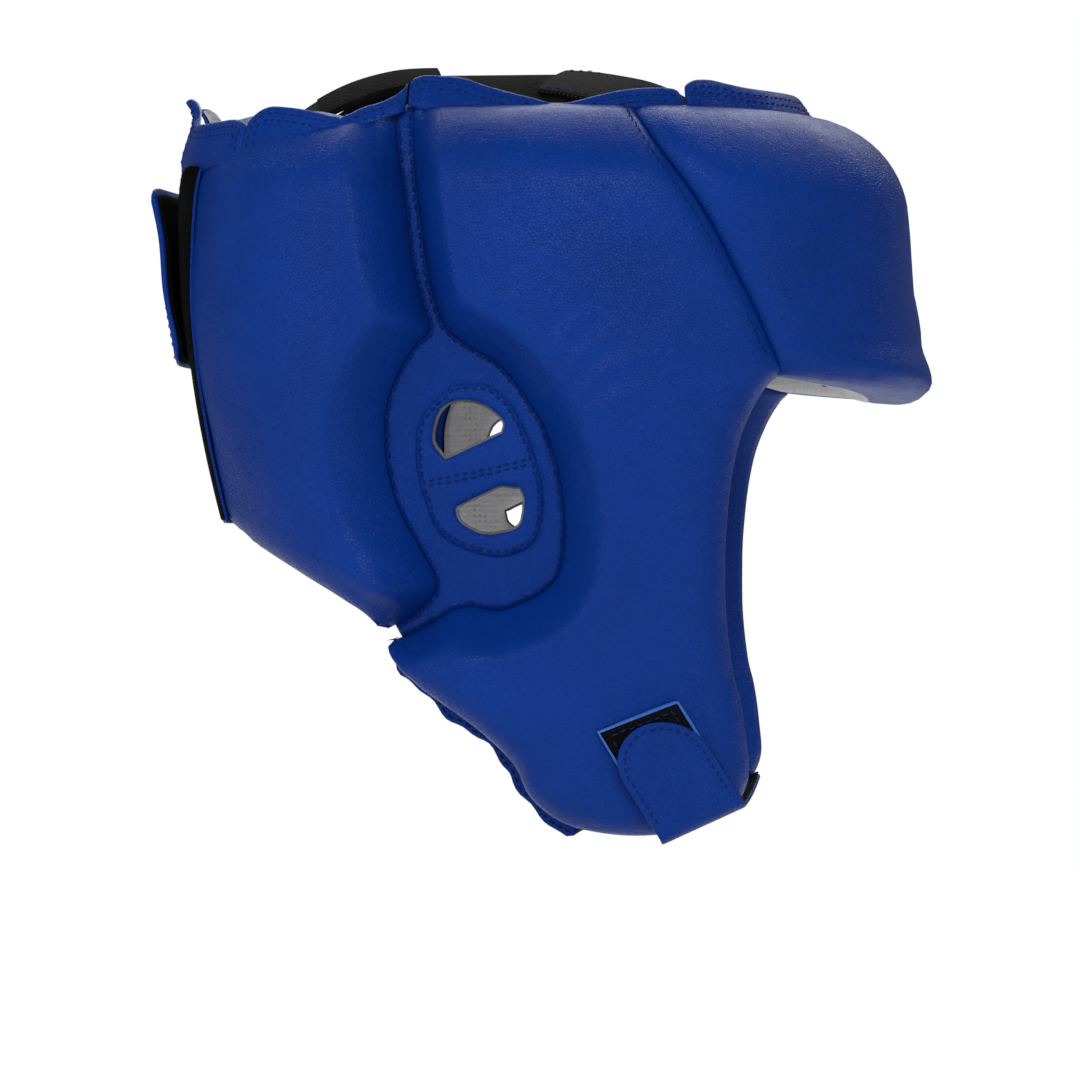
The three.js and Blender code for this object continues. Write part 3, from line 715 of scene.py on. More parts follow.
for side, mirror in SIDES:
    leather, liner = pad_piece(f"side_{side}", side_runs, side_shape, mirror=mirror)
    finish_piece(leather, BLUE, rear_bend(side), (f"side_cover_{side}", f"side_foam_{side}"))
    finish_piece(liner, LINING, rear_bend(side), (f"side_lining_{side}",))
    leather, liner = pad_piece(f"rear_{side}", rear_runs, rear_shape, mirror=mirror)
    finish_piece(leather, BLUE, rear_bend(side), (f"rear_cover_{side}", f"rear_foam_{side}"))
    finish_piece(liner, LINING, rear_bend(side), (f"rear_lining_{side}",))

# ------------------------------------------------------------------ flat ear zone
# Ear holes and patch, (x, z). Each hole is a curve and the straight side that closes it.
UPPER_HOLE = ([(6.5, 11.6), (6.9, 15.5), (1, 20.5), (-6.9, 22.2), (-13.2, 19), (-15.7, 9.6), (-11.7, 3.3)],
              [(-11.7, 3.3), (6.5, 11.6)])
LOWER_HOLE = ([(12, -5.3), (13.3, -9.3), (11.8, -17.2), (5.5, -19.8), (-0.9, -19.8), (-7.3, -16.1),
               (-8.7, -11.5)], [(-8.7, -11.5), (5.6, -4.7), (12, -5.3)])
PATCH_LOOP = [(-8.6, 25.6), (-18, 16), (-19.6, 6.4), (-18.6, -3), (-16.8, -9.3), (-13.6, -17.3),
              (-7.2, -22.3), (2.3, -25.3), (8.4, -25), (14.7, -21.8), (17.3, -15.5), (17.6, -6),
              (15.4, 3.3), (11.9, 12.7), (7.4, 20.5), (1, 25.2), (-8.6, 25.6)]


def hole_ring(hole):
    curve = smooth_run(hole[0], 1.2)
    flat = resample(hole[1], 1.2)
    return domain(locate(np.vstack([curve[:-1], flat[:-1]]), 3.0))


hole_rings = [hole_ring(UPPER_HOLE), hole_ring(LOWER_HOLE)]
ear_ring = np.vstack([ear_front[:-2], ear_rear[:-2][::-1]])
patch_stitch = domain(locate(smooth_run(PATCH_LOOP, 1.0), 3.6))


def grown_ring(ring, distance):
    """A closed convex ring moved outwards."""
    centre = ring.mean(0)
    away = ring - centre
    return ring + away / np.linalg.norm(away, axis=1, keepdims=True) * distance


patch_ring = grown_ring(resample(patch_stitch, 2.0)[:-1], 1.6)


def thin_piece(name, ring, top, thick, spacing=2.0, holes=(), mirror=False, edge=0.8, surface=skin):
    """Thin leather or cloth piece on the head form, with softly rounded edges."""
    pts, tris = triangulate(ring, spacing, holes, rings=(0.35,) if not len(holes) else ())
    th, z = from_domain(pts)
    closed = [np.vstack([r, r[:1]]) for r in [ring, *holes]]
    soft = circle_rise(run_distance(pts, closed) / edge)
    lift = top(th, z) if callable(top) else top
    thick = thick(th, z) if callable(thick) else thick
    middle = lift - thick / 2
    outer = surface(th, z, middle + thick * (0.22 + 0.28 * soft))
    inner = surface(th, z, middle - thick * (0.22 + 0.28 * soft))
    return closed_sheet(name, pts, tris, outer, inner, mirror)


RIM_SIDES = 6


def rim(name, ring, off, radius, mirror=False):
    """Fuzzy cut edge round a hole."""
    th, z = from_domain(ring)
    centre = skin(th, z, off)
    out = normal(th, z)
    tangent = np.roll(centre, -1, axis=0) - np.roll(centre, 1, axis=0)
    tangent /= np.linalg.norm(tangent, axis=1, keepdims=True)
    across = np.cross(tangent, out)
    n, k = len(ring), RIM_SIDES
    verts = []
    for i in range(n):
        for j in range(k):
            a = 2 * math.pi * j / k
            r = radius * (1 + 0.25 * noise.noise(Vector((i * 0.7, j * 1.3, off))))
            verts.append(centre[i] + (across[i] * math.cos(a) + out[i] * math.sin(a) * 1.3) * r)
    faces = [(i * k + j, i * k + (j + 1) % k, ((i + 1) % n) * k + (j + 1) % k, ((i + 1) % n) * k + j)
             for i in range(n) for j in range(k)]
    return make_object(name, verts, faces, mirror)


# Layers of the ear zone: (ring, height of the outer face, thickness, point spacing, material, CAD node).
EAR_LAYERS = {
    "sheet": (ear_ring, 3.0, 1.7, 2.0, BLUE, "ear_panel"),
    "liner": (inset_ring(ear_ring, 0.9), 1.1, 1.0, 2.6, LINING, "ear_lining"),
    "patch": (patch_ring, 4.1, 1.1, 2.0, BLUE, "ear_patch"),
}
for side, mirror in SIDES:
    for label, (ring, top, thick, spacing, material, node) in EAR_LAYERS.items():
        layer = thin_piece(f"ear_{label}_{side}", ring, top, thick, spacing, hole_rings, mirror)
        finish_piece(layer, material, rear_bend(side), (f"{node}_{side}",))
    for label, ring in zip(("upper", "lower"), hole_rings):
        edge = rim(f"ear_rim_{label}_{side}", ring, 2.0, 0.75, mirror)
        finish_piece(edge, FUZZ, rear_bend(side))

# ------------------------------------------------------------------ stitches
STITCH_SIDES = 6
# Stations along a stitch: (place along its length, width, height over the cloth).
STITCH_STATIONS = ((-0.5, 0.35, -0.25), (-0.3, 0.9, 0.12), (0.0, 1.0, 0.26), (0.3, 0.9, 0.12),
                   (0.5, 0.35, -0.25))


class Thread:
    """Collects short raised stitches into one mesh."""

    def __init__(self):
        self.verts = []
        self.faces = []

    def add(self, centre, along, up, length, radius):
        across = np.cross(up, along)
        start, sides = len(self.verts), STITCH_SIDES
        for at, wide, lift in STITCH_STATIONS:
            for k in range(sides):
                a = 2 * math.pi * k / sides
                high = lift + radius * wide * math.sin(a) * 0.8
                self.verts.append(centre + along * at * length + up * high
                                  + across * radius * wide * math.cos(a))
        last = start + (len(STITCH_STATIONS) - 1) * sides
        for row in range(start, last, sides):
            for k in range(sides):
                q = (k + 1) % sides
                self.faces.append((row + k, row + q, row + sides + q, row + sides + k))
        self.faces.append(tuple(start + k for k in reversed(range(sides))))
        self.faces.append(tuple(last + k for k in range(sides)))

    def follow(self, points, normals, pitch=3.0, length=2.1, radius=0.3):
        """Stitches along a polyline in space, with the surface normal at each of its points."""
        gaps = np.linalg.norm(np.diff(points, axis=0), axis=1)
        along = np.concatenate([[0], np.cumsum(gaps)])
        for n, at in enumerate(np.arange(pitch / 2, along[-1] - pitch / 3, pitch)):
            span = np.array([at - pitch / 4, at + pitch / 4, at])
            p = np.stack([np.interp(span, along, points[:, k]) for k in range(3)], -1)
            up = np.array([np.interp(at, along, normals[:, k]) for k in range(3)])
            up /= np.linalg.norm(up)
            way = p[1] - p[0]
            way -= up * way.dot(up)
            way /= max(np.linalg.norm(way), 1e-9)
            sway = 0.12 * math.sin(n * 2.3)
            self.add(p[2] + np.cross(up, way) * sway, way, up, length, radius)

    def on_skin(self, ring, off, **settings):
        th, z = from_domain(ring)
        lift = off(th, z) if callable(off) else off
        self.follow(skin(th, z, lift), normal(th, z), **settings)

    def finish(self, name, body, mirror=False):
        finish_piece(make_object(name, self.verts, self.faces, mirror), THREAD, body)


def beside(run, distance):
    """An open domain polyline moved to its left."""
    tangent = np.gradient(run, axis=0)
    tangent /= np.maximum(np.linalg.norm(tangent, axis=1, keepdims=True), 1e-9)
    moved = run + np.stack([-tangent[:, 1], tangent[:, 0]], -1) * distance
    return moved[run_distance(moved, [run]) > abs(distance) * 0.85]


SEAM_ROW_TOP, PATCH_TOP = 3.2, 4.2
BAR = [(-17.3, -4.1), (-8, -2.5), (2, -0.4), (14.6, 2.6)]
bar_row = domain(locate(smooth_run(BAR, 1.0), 4.1))
bar_half = np.array([0, 0.8])
front_row = resample(beside(ear_front[:-2], -1.2), 1.0)
rear_row = resample(beside(ear_rear[:-2], 1.2), 1.0)
brow_row = resample(beside(brow[:-2], -3.2), 1.0)


def brow_lift(th, z):
    d = run_distance(np.stack([th * SCALE, z], -1), [brow])
    return thickness(th, z) - 4.5 + 4.5 * circle_rise(d / 8.0) + 0.1


for side, mirror in SIDES:
    thread = Thread()
    for row in (front_row, rear_row):
        thread.on_skin(row, SEAM_ROW_TOP)
    for row in (patch_stitch, bar_row + bar_half, bar_row - bar_half):
        thread.on_skin(row, PATCH_TOP, pitch=2.7, length=1.9)
    thread.finish(f"ear_thread_{side}", rear_bend(side), mirror)
    thread = Thread()
    thread.on_skin(brow_row, brow_lift, pitch=3.1)
    thread.finish(f"brow_thread_{side}", "shell", mirror)

# ------------------------------------------------------------------ scalloped flange, (degrees, height)
TABS = {
    "front": [(-45.2, 116), (-44.9, 121.8), (-44, 123.2), (-42.2, 124.5), (-38.8, 124.8), (-35.2, 123.9),
              (-29.8, 122.9), (-19, 123.1), (-12, 122.8), (-6, 120.5), (-1.5, 116)],
    "temple": [(-72.6, 115.2), (-70, 115.9), (-67.2, 116.8), (-63.8, 118.2), (-58.2, 120.2), (-52.8, 121.2),
               (-47.8, 121.2), (-46.3, 119.8), (-45.8, 116.2)],
    "side": [(-108.2, 115.6), (-108.1, 123.2), (-106, 125.1), (-103.2, 125.4), (-100, 125), (-97.5, 124.8),
             (-94.2, 123.8), (-91, 122.2), (-84.5, 119.6), (-78.2, 117.4), (-73.6, 115.5)],
    "seam": [(-120.65, 107), (-120.6, 111.4), (-119, 112.8), (-117, 114.8), (-113.8, 116.4), (-111, 118.8),
             (-109.6, 121), (-108.9, 122.6), (-108.8, 115.5)],
    "rear": [(-138.6, 101), (-138.5, 110.2), (-137.8, 112.8), (-136.2, 115.1), (-134.3, 116.1),
             (-131.8, 115.7), (-129, 114.9), (-125.7, 113.6), (-122.8, 112.2), (-120.75, 111.2),
             (-120.7, 107)],
    "back": [(-172.6, 98), (-172.8, 119), (-172.9, 123.2), (-171.6, 124.9), (-168.8, 124.6),
             (-166.8, 121.6), (-165.2, 117.6), (-162, 115), (-154, 113.7), (-148.5, 113.5),
             (-144, 113.3), (-141, 112.6), (-139.4, 111.2), (-138.8, 109.6), (-138.75, 101)],
}
TAB_BODY = {"front": "shell", "temple": "shell", "side": "bend", "seam": "bend", "rear": "rear",
            "back": "rear"}
BASE_DEGREES = (-180, -172, -155, -142, -135, -129, -121, -115, -108, 0)
BASE_HEIGHTS = (97, 97, 98, 99.5, 101.5, 103.5, 106.5, 110, 114.2, 114.6)
LEAN_DEGREES = (-180, -150, -126, -110, -45, 0)
LEANS = (-0.1, -0.2, -0.4, -0.5, -0.45, -0.5)
FOOT_DEPTH, FOOT_POINTS, ROW_CLEARANCE = 0.4, 12, 0.8
TAB_TOP, TAB_THICK, TAB_ROWS = 2.4, 1.5, (2.2, 4.4)
BULGE, BULGE_FROM = 8.0, -150
HORN, HORN_Z, HORN_FROM, RIPPLE = 5.5, 115, -164.5, 0.35


def base_height(degrees):
    return np.interp(degrees, BASE_DEGREES, BASE_HEIGHTS)


def flange_point(th, z, off):
    """Point of the flange on the pads: it bulges at the back corner and leans inwards elsewhere."""
    th, z = np.asarray(th, float), np.asarray(z, float)
    degrees = np.degrees(th)
    low = base_height(degrees)
    base = skin(th, low, thickness(th, low + corner_dip(th, low)) - FOOT_DEPTH)
    out = normal(th, low)
    out[..., 2] = 0
    out /= np.linalg.norm(out, axis=-1, keepdims=True)
    rise = z - low
    back = np.clip((BULGE_FROM - degrees) / 18, 0, 1)
    bulge = BULGE * (1 - np.exp(-np.maximum(rise, 0) / 2.5)) - 0.34 * rise
    horn = HORN * np.clip((z - HORN_Z) / 9, 0, 1) ** 2 * np.clip((HORN_FROM - degrees) / 7.5, 0, 1)
    ripple = RIPPLE * np.sin(th * 23 + 1.0) * np.clip(rise / 8, 0, 1)
    away = back * bulge + (1 - back) * np.interp(degrees, LEAN_DEGREES, LEANS) * rise + horn + ripple
    place = base + out * (away + off)[..., None]
    place[..., 2] = z
    return place


for side, mirror in SIDES:
    body_of = {"shell": "shell", "rear": f"rear_{side}", "bend": rear_bend(side)}
    for name, outline in TABS.items():
        degrees, heights = np.array(outline, float).T
        top = smooth_run(np.stack([np.radians(degrees) * SCALE, heights], -1), 1.5)
        foot_degrees = np.linspace(degrees[-1], degrees[0], FOOT_POINTS)
        foot = np.stack([np.radians(foot_degrees) * SCALE, base_height(foot_degrees) - FOOT_DEPTH], -1)
        ring = np.vstack([top[:-1], foot[:-1]])
        body = body_of[TAB_BODY[name]]
        tab = thin_piece(f"{name}_flange_{side}", ring, TAB_TOP, TAB_THICK, 1.9, mirror=mirror,
                         surface=flange_point)
        finish_piece(tab, BLUE, body, (f"{name}_tab_{side}",))
        backing = thin_piece(f"{name}_flange_lining_{side}", inset_ring(ring, 0.5), 0.8, 0.7, 2.4,
                             mirror=mirror, surface=flange_point)
        finish_piece(backing, LINING, body)
        thread = Thread()
        for depth in TAB_ROWS:
            row = resample(beside(top, -depth), 1.0)
            row = row[inside(row, ring)]
            row = row[row[:, 1] > base_height(np.degrees(row[:, 0] / SCALE)) + ROW_CLEARANCE]
            if len(row) > 4:
                here, beyond = flange_point(*from_domain(row), 2.35), flange_point(*from_domain(row), 3.35)
                thread.follow(here, beyond - here, pitch=2.9, length=2.0, radius=0.22)
        thread.finish(f"{name}_flange_thread_{side}", body, mirror)

# ------------------------------------------------------------------ crown webbing
ARM_WIDTH, ARM_THICK, HOOK_THICK = 25.0, 1.5, 2.2
ARM_FOOT = {"front": (-34.6, 107.0), "rear": (-151.5, 109.0)}
SOFT_EDGE = 0.7


def soft_body(name, outer, inner, edge, mirror=False):
    """Grid body that thins out at its long edges. edge is the share of the thickness left in each place."""
    middle = (outer + inner) / 2
    return grid_body(name, middle + (outer - middle) * edge, middle + (inner - middle) * edge, mirror)


def curve_between(start, corner, end):
    """Rows of points on the quadratic curve from start to end, without its ends."""
    return [(1 - t) ** 2 * start + 2 * t * (1 - t) * corner + t ** 2 * end
            for t in np.linspace(0.12, 0.88, 7)]


def strap(name, stations, width, thick, mirror=False, foot=None, step=2.0):
    """Webbing over the crown through (x, y, lift, roll) stations, from a foot inside the pads if given."""
    stations = np.array(stations, float)
    start, end = stations[0, :2], stations[-1, :2]
    way = (end - start) / np.linalg.norm(end - start)
    across = np.array([way[1], -way[0]])
    gaps = np.concatenate([[0], np.cumsum(np.linalg.norm(np.diff(stations[:, :2], axis=0), axis=1))])
    at, _ = rounded(0, gaps[-1], int(gaps[-1] / step), 0.8)
    widths, near = rounded(-width / 2, width / 2, 15, SOFT_EDGE)
    path = np.stack([np.interp(at, gaps, stations[:, k]) for k in range(4)], -1)
    for k in (2, 3):
        path[:, k] = np.convolve(np.pad(path[:, k], 3, mode="edge"), np.ones(7) / 7, mode="valid")
    x = path[:, :1] + across[0] * widths[None]
    y = path[:, 1:2] + across[1] * widths[None]
    tilt = path[:, 3:] * (y - path[:, 1:2])
    low = crown_height(x, y) + path[:, 2:3] + tilt + 0.2 * np.sin(at / 9.0)[:, None]
    faces = [np.stack([x, y, low], -1)]
    faces.append(faces[0] + np.array([0, 0, thick]))
    if foot is not None:
        spin = math.copysign(1, across[0] * -start[1] + across[1] * start[0])
        angle = np.radians(foot[0]) + spin * widths / np.hypot(*start)
        for k, off in enumerate((-0.6 - thick, -0.6)):
            rows = [skin(angle, np.full_like(angle, foot[1] - drop), off) for drop in (9, 4, 0)]
            first = faces[k][0]
            corner = 0.35 * rows[-1] + 0.65 * first + np.array([0, 0, 1.5])
            faces[k] = np.concatenate([rows, curve_between(rows[-1], corner, first), faces[k]])
    soft = (0.35 + 0.65 * circle_rise(near / SOFT_EDGE))[None, :, None]
    return soft_body(name, faces[1], faces[0], soft, mirror)


FRONT_ARM = [(62, -48, -2.5, 0.1), (56, -46, -1.2, 0.1), (50, -44, -0.6, 0.1), (42, -41.4, 0, 0.06),
             (34, -38.8, 0.6, 0), (27, -36.5, 1.5, 0), (18, -33.6, 1.5, 0)]
REAR_BASE = [(-65, -37, -0.2, 0.05), (-61, -36.2, 0, 0.05), (-57.8, -35.6, 0, 0.05)]
REAR_ARM = [(-58.4, -35.7, 0, 0.05), (-51, -34.2, 0, 0.05), (-44, -32.8, 0, 0.05), (-36, -31.3, 0.6, 0),
            (-28, -29.7, 1.5, 0), (-19.5, -28, 1.5, 0)]
BAND = [(0, -52, -0.2, 0), (0, -20, -0.2, 0), (0, 20, -0.2, 0), (0, 52, -0.2, 0)]
band = strap("crown_band", BAND, 48, 1.1, step=3.0)
finish_piece(band, PILE, "shell", ("crown_panel",))
for side, mirror in SIDES:
    front = strap(f"front_strap_{side}", FRONT_ARM, ARM_WIDTH, ARM_THICK, mirror, ARM_FOOT["front"])
    finish_piece(front, WEB, "shell", (f"front_arm_{side}",))
    base = strap(f"rear_strap_base_{side}", REAR_BASE, ARM_WIDTH, ARM_THICK, mirror, ARM_FOOT["rear"])
    finish_piece(base, WEB, f"rear_{side}", (f"arm_base_{side}",))
    arm = strap(f"rear_strap_{side}", REAR_ARM, ARM_WIDTH, HOOK_THICK, mirror)
    finish_piece(arm, PILE, f"crown_arm_{side}", (f"rear_arm_{side}",))
    thread = Thread()
    line = np.array(FRONT_ARM, float)
    way = line[-1, :2] - line[0, :2]
    way /= np.linalg.norm(way)
    for shift in (-10.3, 10.3):
        spots = line[:, :2] + np.array([way[1], -way[0]]) * shift
        tall = crown_height(spots[:, 0], spots[:, 1]) + line[:, 2] + 1.4
        tall += line[:, 3] * (spots[:, 1] - line[:, 1])
        path = resample(np.column_stack([spots, tall]), 1.5)
        thread.follow(path, np.tile([0.0, 0.0, 1.0], (len(path), 1)), pitch=3.2, radius=0.2)
    thread.finish(f"front_strap_thread_{side}", "shell", mirror)

# ------------------------------------------------------------------ chin closure
FOLD = np.array([(55.3, -114.4), (81.3, -102.8)])
FOLD_LENGTH = float(np.linalg.norm(FOLD[1] - FOLD[0]))
FOLD_WAY = (FOLD[1] - FOLD[0]) / FOLD_LENGTH
FOLD_UP = np.array([-FOLD_WAY[1], FOLD_WAY[0]])
TIP_LEAN = 0.13
CHIN_PATCH = [(37.6, -81.8), (61.4, -72.6), (75.5, -97), (49, -101), (37.6, -81.8)]


def cheek_place(s, t, extra):
    """(angle, z) on the right cheek at strap coordinates s (across) and t (up from the fold)."""
    flat = FOLD[0] + (s - TIP_LEAN * t)[..., None] * FOLD_WAY + t[..., None] * FOLD_UP
    return locate(flat.reshape(-1, 2), over_pad(extra)).T


def cheek_grid(s, t, extra):
    th, z = cheek_place(s, t, extra)
    return skin(th, z, thickness(th, z) + extra).reshape(*s.shape, 3)


patch_line = domain(locate(resample(CHIN_PATCH, 1.6), over_pad(1.2)))[:-1]
cheek_patch = thin_piece("cheek_patch_pile", patch_line, over_pad(1.4), 1.3, 1.8)
finish_piece(cheek_patch, PILE, "shell", ("cheek_patch",))
trim_line = resample(np.vstack([patch_line, patch_line[:1]]), 1.2)[:-1]


def band_ring(name, ring, lift, width, thick):
    """Flat edging that follows a closed domain ring."""
    inner, outer = from_domain(ring), from_domain(grown_ring(ring, width))
    n = len(ring)
    verts = np.vstack([skin(*at, lift(*at) - drop)
                       for at, drop in ((inner, 0), (outer, 0), (outer, thick), (inner, thick))])
    faces = []
    for k in range(4):
        a, b = k * n, ((k + 1) % 4) * n
        faces += [(a + i, a + (i + 1) % n, b + (i + 1) % n, b + i) for i in range(n)]
    return make_object(name, verts, faces, smooth=False)


trim = band_ring("cheek_patch_edge", trim_line, over_pad(1.7), 0.8, 1.4)
finish_piece(trim, EDGE_BLUE, "shell", ("cheek_patch_trim",))
thread = Thread()
patch_row = resample(inset_ring(patch_line, 2.2), 1.0)
thread.on_skin(patch_row, over_pad(1.65), pitch=2.8)
thread.finish("cheek_patch_thread", "shell")

STRAP_END = np.array([-85.2, -76.3])
TIP_LENGTH, TIP_RADIUS = 33.5, FOLD_LENGTH / 2
STRAP_SAG, RISE_FROM = 1.2, 2.5
EDGE_SHARE = 0.03
ACROSS, edge_near = rounded(0, 1, 13, EDGE_SHARE)
STRAP_EDGE = (0.35 + 0.65 * circle_rise(edge_near / EDGE_SHARE))[None, :, None]


def strap_surface(extra, depth, length):
    """One face of the strap, from the left end, under the chin, round the fold and up the right cheek."""
    rows = []
    for v in np.linspace(1, -0.96, 60):
        flat = FOLD[0] + ACROSS[:, None] * FOLD_LENGTH * FOLD_WAY - depth * FOLD_UP
        y = (STRAP_END[0] + (STRAP_END[1] - STRAP_END[0]) * ACROSS) * -v
        rows.append(np.stack([flat[:, 0], y, flat[:, 1] - STRAP_SAG * (1 - v * v)], -1))
    below = rows[-1]
    up = cheek_grid(ACROSS * FOLD_LENGTH, np.full_like(ACROSS, RISE_FROM), extra)
    corner = np.stack([below[:, 0], up[:, 1], below[:, 2] + 0.25 * (up[:, 2] - below[:, 2])], -1)
    rows += curve_between(below, corner, up)
    straight = length - TIP_RADIUS
    tip = straight + TIP_RADIUS * np.sin(np.linspace(0.12, 1.52, 12))
    for t in [*np.linspace(RISE_FROM, straight, 12), *tip]:
        bend = max(0.0, (t - straight) / TIP_RADIUS)
        s = (0.5 + (ACROSS - 0.5) * math.sqrt(max(0.0, 1 - bend * bend))) * FOLD_LENGTH
        rows.append(cheek_grid(s, np.full_like(s, t), extra))
    return np.array(rows)


def strap_layer(name, length, outer, inner):
    """Layer of the strap between two faces, each (distance over the cheek, distance under the fold)."""
    return soft_body(name, strap_surface(*outer, length), strap_surface(*inner, length), STRAP_EDGE)


strap_body = ("chin_strap", "chin_tip", (0.0700, -0.0800, -0.1120), (0.0693, -0.0835, -0.1085))
strap_leather = strap_layer("chin_strap_leather", TIP_LENGTH, (4.3, 3.1), (2.7, 1.5))
finish_piece(strap_leather, BLUE, strap_body, ("chin_strap", "strap_tip"))
strap_pile = strap_layer("chin_strap_pile", TIP_LENGTH - 1.0, (2.5, 1.4), (1.7, 0.6))
finish_piece(strap_pile, PILE, strap_body, ("chin_strap_backing", "strap_tip_hook"))

SEW_INSET = 2.2
side_heights = np.linspace(3, TIP_LENGTH - TIP_RADIUS, 14)
turn = np.linspace(math.pi, 0, 22)
sewn = np.vstack([
    np.column_stack([np.full(14, SEW_INSET), side_heights]),
    np.column_stack([TIP_RADIUS + (TIP_RADIUS - SEW_INSET) * np.cos(turn),
                     TIP_LENGTH - TIP_RADIUS + (TIP_RADIUS - SEW_INSET) * np.sin(turn)]),
    np.column_stack([np.full(14, FOLD_LENGTH - SEW_INSET), side_heights[::-1]])])
thread = Thread()
up = normal(*cheek_place(*sewn.T, 4.3))
thread.follow(cheek_grid(*sewn.T, 4.35), up, pitch=2.8, length=1.9, radius=0.28)
thread.finish("strap_tip_thread", "chin_tip")

# The sewn end on the left cheek, with a boxed cross of stitches.
anchor_grid = np.meshgrid(ACROSS * FOLD_LENGTH, np.linspace(0.8, 25, 14))
outer, inner = cheek_grid(*anchor_grid, 2.5), cheek_grid(*anchor_grid, 0.2)
anchor = soft_body("chin_strap_end", outer, inner, STRAP_EDGE, mirror=True)
finish_piece(anchor, BLUE, "shell", ("chin_anchor",))
BOX_CROSS = [(3, 3), (3, 22), (24.6, 22), (24.6, 3), (3, 3), (24.6, 22), (24.6, 3), (3, 22)]
thread = Thread()
for a, b in zip(BOX_CROSS[:-1], BOX_CROSS[1:]):
    s, t = resample([a, b], 1.0).T
    thread.follow(cheek_grid(s, t, 2.6), normal(*cheek_place(s, t, 2.6)), pitch=2.8)
thread.finish("chin_strap_end_thread", "shell", True)

# ------------------------------------------------------------------ jaw lip
LIP_TOP, LIP_THICK, LIP_UNDER = 8.0, 1.8, 2.5
lip_run = face[(face[:, 1] < -55) & (face[:, 0] < math.radians(-62) * SCALE)]
tangent = np.gradient(lip_run, axis=0)
tangent /= np.linalg.norm(tangent, axis=1, keepdims=True)
lip_out = np.stack([tangent[:, 1], -tangent[:, 0]], -1)
middle = len(lip_run) // 2
side_ring = np.vstack([run[:-1] for _, run in side_runs])
if inside(lip_run[middle:middle + 1] + lip_out[middle:middle + 1] * 2, side_ring)[0]:
    lip_out = -lip_out
t = np.linspace(0, 1, len(lip_run))
lip_width = 4.0 + 0.9 * np.sin(t * 21) + 0.5 * np.sin(t * 47)
lip_width *= np.clip(np.minimum(t, 1 - t) / 0.06, 0.15, 1)
lip_ring = np.vstack([lip_run - lip_out * LIP_UNDER, (lip_run + lip_out * lip_width[:, None])[::-1]])
lip_row = resample(lip_run + lip_out * (lip_width[:, None] - 1.5), 1.0)
for side, mirror in SIDES:
    lip = thin_piece(f"jaw_flange_{side}", lip_ring, LIP_TOP, LIP_THICK, 1.9, mirror=mirror)
    finish_piece(lip, BLUE, rear_bend(side), (f"jaw_lip_{side}",))
    thread = Thread()
    thread.on_skin(lip_row, LIP_TOP + 0.1)
    thread.finish(f"jaw_thread_{side}", rear_bend(side), mirror)

# ------------------------------------------------------------------ rear closure
FLAP_Y, FLAP_LENGTH = 36.0, 74.0
FLAP_END = FLAP_Y - FLAP_LENGTH
FLAP_LOW, FLAP_HIGH = 36.0, 94.0
STANDOFF = [100.2, 104.5, 107.5, 107.2, 104.6]
CURL = [0, 0, 0.6, 3.0, 7.4]
FLAP_ROWS, FLAP_COLUMNS = 26, 40
TAPE_FREE_FROM, TAPE_LOW, TAPE_TOP, TAPE_THICK = 40, -9.5, 1.9, 1.6


def back_ring(y_from, y_to, z_from, z_to, extra=1, rows=24):
    """Domain ring of a patch over the back of the right pad, between two y and two z."""

    def angle_at(y, z):
        low, high = -math.pi - 0.5, -1.7
        for _ in range(40):
            mid = (low + high) / 2
            value = skin(mid, z, thickness(np.array(mid), np.array(z)) + extra)[1]
            low, high = (mid, high) if value > y else (low, mid)
        return (low + high) / 2

    right = [(angle_at(y_to, z) * SCALE, z) for z in np.linspace(z_from, z_to, rows)]
    left = [(angle_at(y_from, z) * SCALE, z) for z in np.linspace(z_to, z_from, rows)]
    top = resample([right[-1], left[0]])[1:-1]
    bottom = resample([left[-1], right[0]])[1:-1]
    return resample(np.vstack([right, top, left, bottom, right[:1]]), 1.8)[:-1]


loop_ring = back_ring(8, -45, TAPE_LOW, 96)


def loop_rise(th, z):
    """Height of the loose upper part of the loop tape over the pad."""
    stack = 1 / (1 + np.exp(-(z - TAPE_FREE_FROM) / 1.2))
    y = skin(th, z, 22)[:, 1]
    far = np.clip((-y - 6) / 14, 0, 1)
    rise = 0.3 + 3.4 * np.clip((z - TAPE_FREE_FROM) / 55, 0, 1)
    return (rise + 0.22 * np.sin(y * 3.1)) * stack * far


def loop_lift(th, z):
    return thickness(th, z) + TAPE_TOP + loop_rise(th, z)


def loop_thickness(th, z):
    return TAPE_THICK + loop_rise(th, z)


loop_panel = thin_piece("back_loop_tape", loop_ring, loop_lift, loop_thickness, 1.5)
finish_piece(loop_panel, PILE, "rear_right", ("back_loop_panel",))
edging = band_ring("back_loop_edge", loop_ring, over_pad(1.3), 0.8, 0.9)
finish_piece(edging, BLUE, "rear_right")


def flap_face(out, y_from=FLAP_Y, y_to=FLAP_END, inset=0):
    """One face of the flap, from its sewn edge to its free end, with its top curled away from the head."""
    y = np.linspace(y_from, y_to, FLAP_COLUMNS)
    v = np.linspace(0, 1, FLAP_ROWS)[:, None]
    u = (FLAP_Y - y) / FLAP_LENGTH * 4
    stand = np.interp(u, range(5), STANDOFF)
    stand = np.convolve(np.pad(stand, 2, mode="reflect", reflect_type="odd"), np.ones(5) / 5, mode="valid")
    end = np.clip((y - FLAP_END) / 9, 0, 1)
    squeeze = 1 - 0.10 * (1 - np.sqrt(1 - (1 - end) ** 2))
    centre, height = (FLAP_LOW + FLAP_HIGH) / 2, FLAP_HIGH - FLAP_LOW - 2 * inset
    wave = 0.5 * np.sin(v * 9 + y * 0.05) * np.clip(u / 4, 0, 1)
    x = -(stand + np.interp(u, range(5), CURL) * v + out + wave)
    z = centre + height * (v - 0.5) * squeeze
    return np.stack([x, y + 0 * x, z], -1)


